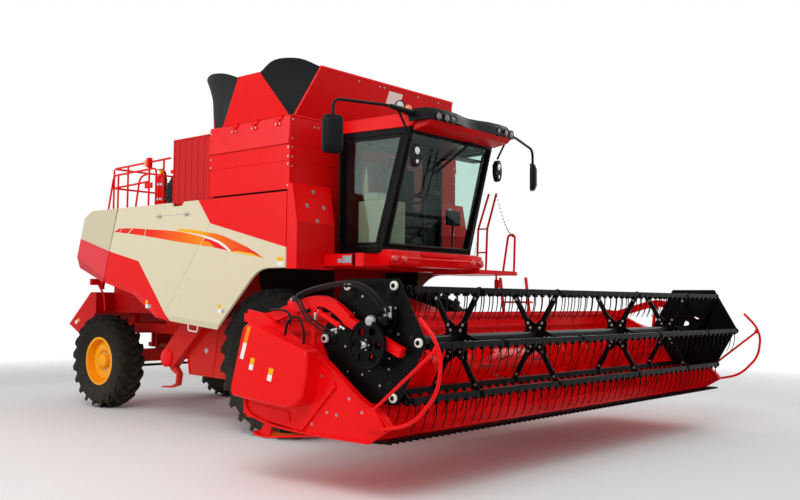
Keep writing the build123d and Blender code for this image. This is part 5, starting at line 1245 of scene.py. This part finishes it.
class HARVESTER_OT_reel(bpy.types.Operator):
    """Dress the reel: curved arms, control plate rollers, drive wheel, motor, hoses and fittings"""
    bl_idname = "harvester.reel"
    bl_label = "Reel arms and drive"

    def execute(self, context):
        # Arms: one broad pressed arch each, with the tube that carries the reel
        bm = bmesh.new()
        arch = [(1.770, 1.314), (2.020, 1.389), (2.240, 1.452), (2.360, 1.472), (2.460, 1.462),
                (2.580, 1.412), (2.700, 1.330)]
        for side in (-1, 1):
            side_prism(bm, smooth_band(arch, 0.084, 5), side * ARM_Y - 0.027, side * ARM_Y + 0.027)
            tip = thick_line([(2.660, 1.336), (3.220, 1.106)], 0.072)
            side_prism(bm, tip, side * ARM_Y - 0.0255, side * ARM_Y + 0.0255)
            add_lathe(bm, [(-0.028, 0.0205), (-0.028, 0.052), (0.028, 0.052), (0.028, 0.0205)],
                      P(1.770, side * ARM_Y, 1.314), (0, 1, 0), 24)
            for y in (side * ARM_Y - 0.020, side * ARM_Y + 0.020):
                side_prism(bm, [(2.29, 1.45), (2.38, 1.46), (2.36, 1.38), (2.31, 1.38)], y - 0.005, y + 0.005)
            add_tube(bm, [P(2.335, side * ARM_Y - 0.03, 1.395), P(2.335, side * ARM_Y + 0.03, 1.395)], 0.009)
        add_box(bm, P(2.03, -ARM_Y - 0.022, 1.36), P(2.14, -ARM_Y + 0.022, 1.475), 0.004)
        arms = piece(bm, "arched_arms", "red", "reel_arms", 30)
        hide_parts("reel_arms")
        # Slide cylinders beside the arches, with their rods, hoses and ferrules
        bm = bmesh.new()
        for side in (-1, 1):
            y = side * (ARM_Y + 0.052)
            add_tube(bm, [P(2.44, y, 1.375), P(2.64, y, 1.287)], 0.021, steps=16)
            add_tube(bm, [P(2.425, y, 1.382), P(2.445, y, 1.373)], 0.027, steps=16)
            add_tube(bm, [P(2.43, y - side * 0.03, 1.38), P(2.43, y + side * 0.02, 1.38)], 0.014)
        piece(bm, "slide_cylinders", "red", "reel_arms", 40)
        bm = bmesh.new()
        for side in (-1, 1):
            y = side * (ARM_Y + 0.052)
            add_tube(bm, [P(2.64, y, 1.287), P(2.70, y, 1.261)], 0.011, steps=12)
        piece(bm, "slide_rods", "chrome", "reel_arms", 40)
        bm = bmesh.new()
        for drop in (0, 0.022):
            y = -ARM_Y - 0.040 - drop
            line = smooth_line([P(2.085, -ARM_Y - 0.012, 1.470), P(2.15, y, 1.492),
                                P(2.22, y - 0.02, 1.470 - drop), P(2.318, y - 0.04, 1.372 - drop),
                                P(2.44, y - 0.04, 1.300 - drop), P(2.56, y - 0.03, 1.252 - drop),
                                P(2.624, -ARM_Y - 0.06, 1.262 - drop)], 6)
            add_tube(bm, line, 0.009)
        piece(bm, "slide_hoses", "hose", "reel_arms", 60)
        bm = bmesh.new()
        for drop in (0, 0.022):
            add_tube(bm, [P(2.575, -ARM_Y - 0.068, 1.250 - drop), P(2.630, -ARM_Y - 0.060, 1.264 - drop)],
                     0.0125, steps=10)
        piece(bm, "hose_ferrules", "zinc", "reel_arms", 40)

        # Rollers and crank bearings at the control plates' corners
        white, dark = bmesh.new(), bmesh.new()
        for side in (-1, 1):
            for angle in SIXTHS:
                spot = about(CONTROL, REEL_R, angle, side * (PLATE_Y + 0.007))
                add_lathe(white, [(0, 0), (0, 0.034), (0.016, 0.034), (0.020, 0.028), (0.020, 0.018),
                                  (0.020, 0)], spot, (0, side, 0), 20)
                add_lathe(dark, [(0.020, 0), (0.020, 0.018), (0.026, 0.016), (0.030, 0.008), (0.030, 0)],
                          spot, (0, side, 0), 16)
                add_lathe(dark, [(0, 0.05), (0.004, 0.05), (0.006, 0.045), (0.006, 0)],
                          about(CONTROL, 0.40, angle, side * PLATE_Y), (0, side, 0), 16)
            ring = P(CONTROL[0], side * PLATE_Y, CONTROL[1])
            add_lathe(dark, [(0, 0.131), (0.008, 0.131), (0.008, 0.155), (0, 0.155)], ring, (0, side, 0), 40,
                      closed=True)
        piece(white, "plate_rollers", "nylon", "reel_controls", 40)
        piece(dark, "roller_caps", "black", "reel_controls", 40)
        trio = ((0.27, 0.2), (0.34, -0.25), (0.22, 0.45))
        spots = [(about(CONTROL, r, angle + shift, side * (PLATE_Y - 0.0005)), (0, side, 0))
                 for side in (-1, 1) for angle in SIXTHS for r, shift in trio]
        bolts("plate_bolts", spots, "reel_controls", MAT["zinc"], 0.0065)

        # Drive wheel: toothed rim and hub round the six holes
        bm = bmesh.new()
        wheel_y = -3.075
        centre = P(REEL[0], wheel_y, REEL[1])
        add_lathe(bm, [(0, 0.158), (0.006, 0.158), (0.008, 0.172), (0, 0.176)], centre, (0, -1, 0), 48,
                  closed=True)
        teeth = 48
        for i in range(teeth):
            a0, a1 = (2 * math.pi * (i + d) / teeth for d in (0.0, 0.5))
            tooth = ((0.172, a0), (0.186, a0 + 0.02), (0.186, a1 - 0.02), (0.172, a1))
            add_prism(bm, [about(REEL, r, a, wheel_y + 0.022) for r, a in tooth], Vector((0, -0.026, 0)))
        for angle in SIXTHS:
            add_lathe(bm, [(0, 0.030), (0.005, 0.031), (0.005, 0.036), (0, 0.038)],
                      about(REEL, 0.108, angle, wheel_y), (0, -1, 0), 24, closed=True)
        add_lathe(bm, [(0, 0.052), (0.012, 0.050), (0.016, 0.03), (0.016, 0)], centre, (0, -1, 0), 28)
        piece(bm, "drive_wheel", "black", "reel_core", 30)
        bm = bmesh.new()
        add_lathe(bm, [(0.016, 0), (0.016, 0.024), (0.030, 0.022), (0.034, 0.012), (0.034, 0)], centre,
                  (0, -1, 0), 20)
        for i in range(5):
            add_lathe(bm, [(0.014, 0), (0.014, 0.007), (0.020, 0.006), (0.020, 0)],
                      about(REEL, 0.038, 2 * math.pi * i / 5, wheel_y), (0, -1, 0), 12)
        piece(bm, "drive_wheel_hub", "zinc", "reel_core", 40)

        # Motor: silver end cap, flange and the two port elbows with their crimped ferrules
        bm = bmesh.new()
        motor = P(2.960, -3.048, 1.330)
        add_lathe(bm, [(0, 0.046), (0.020, 0.044), (0.036, 0.032), (0.040, 0)], motor, (0, -1, 0), 28)
        for x, z in ((3.100, 1.350), (3.052, 1.338)):
            for z0, z1, radius, steps in ((0, 0.040, 0.017, 6), (0.034, 0.085, 0.0145, 16),
                                          (0.080, 0.088, 0.0165, 16)):
                add_tube(bm, [P(x, -ARM_Y, z + z0), P(x, -ARM_Y, z + z1)], radius, steps)
        for x in (2.110, 2.062):
            foot = P(x, -ARM_Y, 1.475)
            add_tube(bm, [foot + Vector((0, 0, 0.001)), foot + Vector((0, 0, 0.018))], 0.018, steps=6)
        piece(bm, "motor_cap", "zinc", "reel_carriage", 40)
        bm = bmesh.new()
        add_lathe(bm, [(-0.010, 0.052), (-0.010, 0.066), (0.004, 0.066), (0.004, 0.052)], motor, (0, -1, 0),
                  28)
        add_box(bm, P(2.99, -3.052, 1.30), P(3.11, -3.02, 1.366), 0.008)
        piece(bm, "motor_block", "black", "reel_carriage", 40)

        # Hoses that loop to the reel's right lift cylinder
        bm = bmesh.new()
        for hose in (((1.86, -3.06, 1.395), (2.00, -3.07, 1.40), (2.10, -3.075, 1.37), (2.12, -3.075, 1.28)),
                     ((2.05, -3.07, 1.18), (2.10, -3.085, 1.30), (2.20, -3.09, 1.35), (2.27, -3.085, 1.28),
                      (2.27, -3.07, 1.16), (2.235, -3.06, 1.10))):
            add_tube(bm, smooth_line([P(*point) for point in hose]), 0.010)
        piece(bm, "header_hoses", "hose", "header", 60)
        return {"FINISHED"}


def tine_tree():
    """Geometry Nodes tree that hangs one spring tine with its coil and clip on every point of a bat."""
    tree = bpy.data.node_groups.new("Spring tines", "GeometryNodeTree")
    face = tree.interface
    face.new_socket("Geometry", in_out="INPUT", socket_type="NodeSocketGeometry")
    face.new_socket("Tine", in_out="INPUT", socket_type="NodeSocketObject")
    face.new_socket("Geometry", in_out="OUTPUT", socket_type="NodeSocketGeometry")
    given = add_node(tree, "NodeGroupInput")
    tine = add_node(tree, "GeometryNodeObjectInfo", [("Object", given.outputs["Tine"])])
    stand = add_node(tree, "GeometryNodeInstanceOnPoints", [("Points", given.outputs["Geometry"]),
                                                            ("Instance", tine.outputs["Geometry"])])
    real = add_node(tree, "GeometryNodeRealizeInstances", [("Geometry", stand.outputs["Instances"])])
    add_node(tree, "NodeGroupOutput", [("Geometry", real.outputs["Geometry"])])
    return tree


class HARVESTER_OT_bats(bpy.types.Operator):
    """Build the six reel bats: a folded channel, cranks, and curved spring tines set out by Geometry Nodes"""
    bl_idname = "harvester.bats"
    bl_label = "Reel bats"

    def execute(self, context):
        pitch, end = context.scene.harvester_sizes.tine_pitch, 2.86
        bm = bmesh.new()
        curve = smooth_line([(0.018, 0, -0.030), (0.016, 0, -0.09), (0.006, 0, -0.15), (-0.012, 0, -0.20),
                             (-0.034, 0, -0.235)], 3)
        add_tube(bm, curve, [0.0055 - 0.002 * k / (len(curve) - 1) for k in range(len(curve))], steps=6)
        add_box(bm, Vector((0.004, -0.016, -0.040)), Vector((0.032, 0.016, 0.004)), 0.004)
        add_tube(bm, [Vector((0.018, -0.02, -0.022)), Vector((0.018, 0.02, -0.022))], 0.014, steps=10)
        pattern_mesh = mesh_from(bm, "tine", 40)
        pattern_mesh.materials.append(MAT["black"])
        pattern = bpy.data.objects.new("tine_pattern", pattern_mesh)
        context.scene.collection.objects.link(pattern)
        tree = tine_tree()
        edges = [-end] + [y + d for y in SPIDER_Y for d in (-0.012, 0.012)] + [end]
        for i, angle in enumerate(SIXTHS):
            x, z = REEL[0] + REEL_R * math.cos(angle), REEL[1] + REEL_R * math.sin(angle)
            places = []
            bm = bmesh.new()
            for y0, y1 in zip(edges[::2], edges[1::2]):
                add_tube(bm, [P(x, y0, z), P(x, y1, z)], 0.022, steps=12)
                # Folded channel behind the tube that the tine clips bolt to
                channel = [(x - 0.024, z + 0.026), (x + 0.026, z + 0.026), (x + 0.030, z - 0.018),
                           (x + 0.026, z - 0.018), (x + 0.022, z + 0.0225), (x - 0.024, z + 0.0225)]
                side_prism(bm, channel, y0 + 0.015, y1 - 0.015)
                count = int((y1 - y0 - 0.06) / pitch)
                places += [tuple(P(x, (y0 + y1) / 2 + (k - count / 2) * pitch, z)) for k in range(count + 1)]
            add_tube(bm, [P(x, -2.908, z), P(x, 2.908, z)], 0.0138, steps=12)
            cx, cz = x + REEL_SHIFT[0], z + REEL_SHIFT[1]
            for side in (-1, 1):
                arm = thick_line([(x, z), (cx, cz)], 0.034)
                side_prism(bm, arm, side * 2.908, side * 2.922)
                for ax, az, r in ((x, z, 0.022), (cx, cz, 0.019)):
                    add_tube(bm, [P(ax, side * 2.908, az), P(ax, side * 2.922, az)], r, steps=16)
                add_tube(bm, [P(cx, side * 2.914, cz), P(cx, side * 2.958, cz)], 0.009, steps=12)
            body = f"bat_{i + 1}"
            bat = object_of(f"bat_tube_{i + 1}", mesh_from(bm, "bat", 40), MAT["black"], body)
            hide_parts(f"reel_bat_{i + 1}")
            spots = bpy.data.meshes.new("tine_spots")
            spots.from_pydata(places, [], [])
            made_by(tree, spots, f"bat_tines_{i + 1}", body, tine=pattern)
        bpy.data.objects.remove(pattern)
        # Gussets where the spiders' flat bars meet the centre tube, and clamp rings round it
        bm = bmesh.new()
        for y in (-2.892, *SPIDER_Y, 2.892):
            for angle in SIXTHS:
                way = Vector((math.cos(angle), 0, math.sin(angle)))
                up = Vector((-math.sin(angle), 0, math.cos(angle)))
                middle = P(REEL[0], y, REEL[1])
                ring = [middle + way * 0.05 + up * 0.085, middle + way * 0.19 + up * 0.026,
                        middle + way * 0.19 - up * 0.026, middle + way * 0.05 - up * 0.085]
                add_prism(bm, [p + Vector((0, 0.0055, 0)) for p in ring], Vector((0, 0.004, 0)))
                for edge in (0.023, -0.023):
                    flange = [middle + way * 0.10 + up * edge, middle + way * 0.43 + up * edge,
                              middle + way * 0.43 + up * (edge * 0.8),
                              middle + way * 0.10 + up * (edge * 0.8)]
                    add_prism(bm, [p - Vector((0, 0.014, 0)) for p in flange], Vector((0, 0.012, 0)))
            add_lathe(bm, [(-0.020, 0.054), (-0.020, 0.064), (0.020, 0.064), (0.020, 0.054)],
                      P(REEL[0], y, REEL[1]), (0, 1, 0), 28)
        piece(bm, "spider_gussets", "black", "reel_core", 40)
        spots = [(about(REEL, r, angle, y - 0.006), (0, -1, 0))
                 for y in SPIDER_Y for angle in SIXTHS for r in (0.10, 0.15, 0.40)]
        bolts("spider_bolts", spots, "reel_core", MAT["zinc"], 0.009)
        return {"FINISHED"}


# Share of a tyre's width that its rim takes
RIM_SHARE = 0.76


class HARVESTER_OT_running_gear(bpy.types.Operator):
    """Dress wheels, underbody and rear: rim bolts and caps, tail lamps, labels, chains and tread strips"""
    bl_idname = "harvester.running_gear"
    bl_label = "Wheels and rear"

    def execute(self, context):
        for end, x, y, z, width in (("front", 0.0, 1.246, 0.800, 0.4670),
                                    ("rear", -3.735, 1.043, 0.625, 0.3780)):
            half = width / 2 * RIM_SHARE
            for name, side in SIDES:
                seat = side * y + side * half * 0.15
                spots = [(P(x + 0.115 * math.cos(a), seat + side * 0.0145, z + 0.115 * math.sin(a)),
                          (0, side, 0))
                         for a in (math.pi * k / 4 for k in range(8))]
                bolts(f"{end}_wheel_nuts_{name}", spots, f"{name}_{end}_wheel", MAT["zinc"], 0.013, 0.014)
                lone(f"{end}_hub_cap_{name}", "yellow", f"{name}_{end}_wheel", 40, add_lathe,
                     [(0.068, 0.094), (0.074, 0.088), (0.090, 0.070), (0.094, 0.030), (0.094, 0)],
                     P(x, seat, z), (0, side, 0), 28)
        # Lamp brackets at the tail
        bm = bmesh.new()
        for side in (-1, 1):
            side_box(bm, side, (-4.30, -4.25), (0.80, 1.02), (1.66, 1.75), 0.006)
            side_box(bm, side, (-4.25, -4.20), (0.84, 0.88), (1.60, 1.72), 0.004)
            add_tube(bm, [P(-4.27, side * 0.90, 1.68), P(-4.10, side * 0.90, 1.50),
                          P(-4.08, side * 0.90, 1.30)], 0.016)
        piece(bm, "lamp_brackets", "red", "chassis", 40)
        bm = bmesh.new()
        for side in (-1, 1):
            for y, radius in ((0.86, 0.035), (0.96, 0.028)):
                add_tube(bm, [P(-4.300, side * y, 1.705), P(-4.318, side * y, 1.705)], radius, steps=20)
        piece(bm, "tail_lamps", "reflector", "chassis", 40)
        # Chopper plate labels
        labels = (("label_white", [(-4.70, 1.135), (-4.64, 1.165), (-4.62, 1.125), (-4.68, 1.095)]),
                  ("label_yellow", [(-4.635, 1.168), (-4.59, 1.19), (-4.57, 1.15), (-4.615, 1.128)]))
        for i, (key, ring) in enumerate(labels):
            bm = bmesh.new()
            for side in (-1, 1):
                side_prism(bm, ring, side * 1.0005, side * 1.0012)
            piece(bm, f"chopper_label_{i}", key, "chassis")
        # Painted shade: near-black sheets on the body's sides in the wheel arches' dark cavities
        bm = bmesh.new()
        for side in (-1, 1):
            side_prism(bm, [(-0.80, 1.32), (0.28, 1.32), (0.28, 2.30), (-0.95, 2.30), (-1.00, 1.70)],
                       side * 0.724, side * 0.730)
        piece(bm, "wheel_arch_liners", "liner", "chassis")
        # Shield folds, diamond label and elevator boots under the side covers
        bm = bmesh.new()
        for side in (-1, 1):
            side_prism(bm, thick_line([(-1.34, 1.19), (-1.79, 0.82), (-1.74, 0.57)], 0.014), side * 1.160,
                       side * 1.172)
            side_prism(bm, thick_line([(-1.20, 1.17), (-1.30, 0.56)], 0.012), side * 1.160, side * 1.168)
            add_lathe(bm, [(0, 0.11), (0.02, 0.11), (0.03, 0.09), (0.03, 0)], P(-2.10, side * 1.24, 0.745),
                      (0, side, 0), 28)
        piece(bm, "shield_folds", "red", "chassis", 40)
        bm = bmesh.new()
        for side in (-1, 1):
            side_prism(bm, [(-1.47, 0.86), (-1.43, 0.90), (-1.39, 0.86), (-1.43, 0.82)], side * 1.1605,
                       side * 1.1615)
        piece(bm, "diamond_label", "label_grey", "chassis")
        # Chains between the platform's rails, and its tread strips
        bm = bmesh.new()
        for start, sag_to in ((P(0.90, 1.53, 2.82), P(1.16, 1.53, 2.28)),
                              (P(0.62, 1.53, 2.36), P(0.50, 1.53, 1.98))):
            steps = 16
            for k in range(steps):
                t = k / steps
                a, b = start.lerp(sag_to, t), start.lerp(sag_to, t + 0.7 / steps)
                drop = Vector((0, 0, -0.10 * math.sin(math.pi * t)))
                add_tube(bm, [a + drop, b + drop], 0.005, steps=6)
        piece(bm, "chains", "iron", "chassis")
        bm = bmesh.new()
        for k in range(14):
            add_box(bm, P(0.52 + k * 0.048, 0.80, 1.846), P(0.55 + k * 0.048, 1.50, 1.852), 0.002)
        piece(bm, "platform_tread", "red_deep", "chassis")
        return {"FINISHED"}


class HARVESTER_OT_stage(bpy.types.Operator):
    """Set up the floor, the light and the camera at the photograph's angle"""
    bl_idname = "harvester.stage"
    bl_label = "Floor, light and camera"

    def execute(self, context):
        scene = context.scene
        scene.view_settings.view_transform = "Standard"
        bm = bmesh.new()
        size = 60.0
        add_prism(bm, [Vector((-size, -size, -0.02)), Vector((size, -size, -0.02)),
                       Vector((size, size, -0.02)), Vector((-size, size, -0.02))], Vector((0, 0, 0.02)))
        # Matt painted studio floor, near white
        paint, tree, shader = new_material("Studio_floor", linear("#ECECEC"))
        shader.inputs["Roughness"].default_value = 0.9
        # Far from the machine the floor fades into the white background
        away = add_node(tree, "ShaderNodeVectorMath", [("Vector", coordinates(tree)[0])], operation="LENGTH")
        fade = add_node(tree, "ShaderNodeMapRange", [("Value", away.outputs["Value"])], in_1=6.5, in_2=13.0)
        gone = add_node(tree, "ShaderNodeBsdfTransparent")
        mix = add_node(tree, "ShaderNodeMixShader",
                       [(0, fade.outputs[0]), (1, shader.outputs[0]), (2, gone.outputs[0])])
        tree.links.new(mix.outputs[0], tree.nodes["Material Output"].inputs["Surface"])
        mesh = mesh_from(bm, "floor")
        mesh.materials.append(paint)
        floor = bpy.data.objects.new("floor", mesh)
        scene.collection.objects.link(floor)

        world = bpy.data.worlds.new("Studio")
        scene.world = world
        world.use_nodes = True
        tree = world.node_tree
        tree.nodes.clear()
        ray = add_node(tree, "ShaderNodeLightPath")
        seen = maths(tree, "MAXIMUM", ray.outputs["Is Camera Ray"], ray.outputs["Is Glossy Ray"])
        through = maths(tree, "MAXIMUM", seen, ray.outputs["Is Transmission Ray"])
        dim = add_node(tree, "ShaderNodeBackground", in_Strength=0.55, in_Color=(1, 1, 1, 1))
        white = add_node(tree, "ShaderNodeBackground", in_Strength=1.0, in_Color=(1, 1, 1, 1))
        mix = add_node(tree, "ShaderNodeMixShader",
                       [(0, through), (1, dim.outputs[0]), (2, white.outputs[0])])
        add_node(tree, "ShaderNodeOutputWorld", [("Surface", mix.outputs[0])])

        for name, place, target, power, width in (
                ("key", (5.5, -8.5, 8.5), (-0.5, -1.0, 1.5), 480, 5.0),
                ("side", (-5.0, -9.0, 5.0), (-1.5, -1.0, 2.0), 205, 5.0),
                ("rim", (2.0, 9.0, 7.0), (0.0, 0.0, 2.0), 180, 6.0)):
            lamp = bpy.data.lights.new(name, "AREA")
            lamp.energy = power
            lamp.size = width
            light = bpy.data.objects.new(name, lamp)
            scene.collection.objects.link(light)
            light.location = P(*place)
            light.rotation_euler = (P(*target) - P(*place)).to_track_quat("-Z", "Y").to_euler()

        # The camera was solved from the photograph's symmetric pairs: 41.1 mm on a 36 mm wide sensor
        view = bpy.data.cameras.new("camera")
        view.sensor_width = 36
        view.lens = 41.09
        camera = bpy.data.objects.new("camera", view)
        scene.collection.objects.link(camera)
        yaw, pitch, roll = (math.radians(a) for a in (130.6055, 3.1511, 0.5119))
        ahead = Vector((math.cos(yaw) * math.cos(pitch), math.sin(yaw) * math.cos(pitch), math.sin(pitch)))
        right = Vector((math.sin(yaw), -math.cos(yaw), 0))
        up = right.cross(ahead)
        right, up = (right * math.cos(roll) + up * math.sin(roll),
                     up * math.cos(roll) - right * math.sin(roll))
        turn = Matrix((right, up, -ahead)).transposed()
        camera.matrix_world = Matrix.Translation(P(7.4611, -7.9887, 1.483)) @ turn.to_4x4()
        scene.camera = camera
        return {"FINISHED"}


class HARVESTER_PT_panel(bpy.types.Panel):
    """Lists the steps and the values"""
    bl_idname = "HARVESTER_PT_panel"
    bl_label = "Harvester"
    bl_space_type = "VIEW_3D"
    bl_region_type = "UI"
    bl_category = "Harvester"

    def draw(self, context):
        for group in (context.scene.harvester_colours, context.scene.harvester_sizes):
            for name in group.__annotations__:
                self.layout.prop(group, name)
        for step in STEPS:
            self.layout.operator(step.bl_idname)


STEPS = (HARVESTER_OT_stage, HARVESTER_OT_finishes, HARVESTER_OT_covers, HARVESTER_OT_tank, HARVESTER_OT_deck,
         HARVESTER_OT_cab, HARVESTER_OT_header, HARVESTER_OT_reel, HARVESTER_OT_bats,
         HARVESTER_OT_running_gear)
CLASSES = (HarvesterColours, HarvesterSizes, *STEPS, HARVESTER_PT_panel)


def register():
    for one in CLASSES:
        bpy.utils.register_class(one)
    bpy.types.Scene.harvester_colours = bpy.props.PointerProperty(type=HarvesterColours)
    bpy.types.Scene.harvester_sizes = bpy.props.PointerProperty(type=HarvesterSizes)


def unregister():
    del bpy.types.Scene.harvester_sizes
    del bpy.types.Scene.harvester_colours
    for one in reversed(CLASSES):
        bpy.utils.unregister_class(one)


def main():
    register()
    for step in STEPS:
        space, name = step.bl_idname.split(".")
        getattr(getattr(bpy.ops, space), name)()


if __name__ == "__main__":
    main()
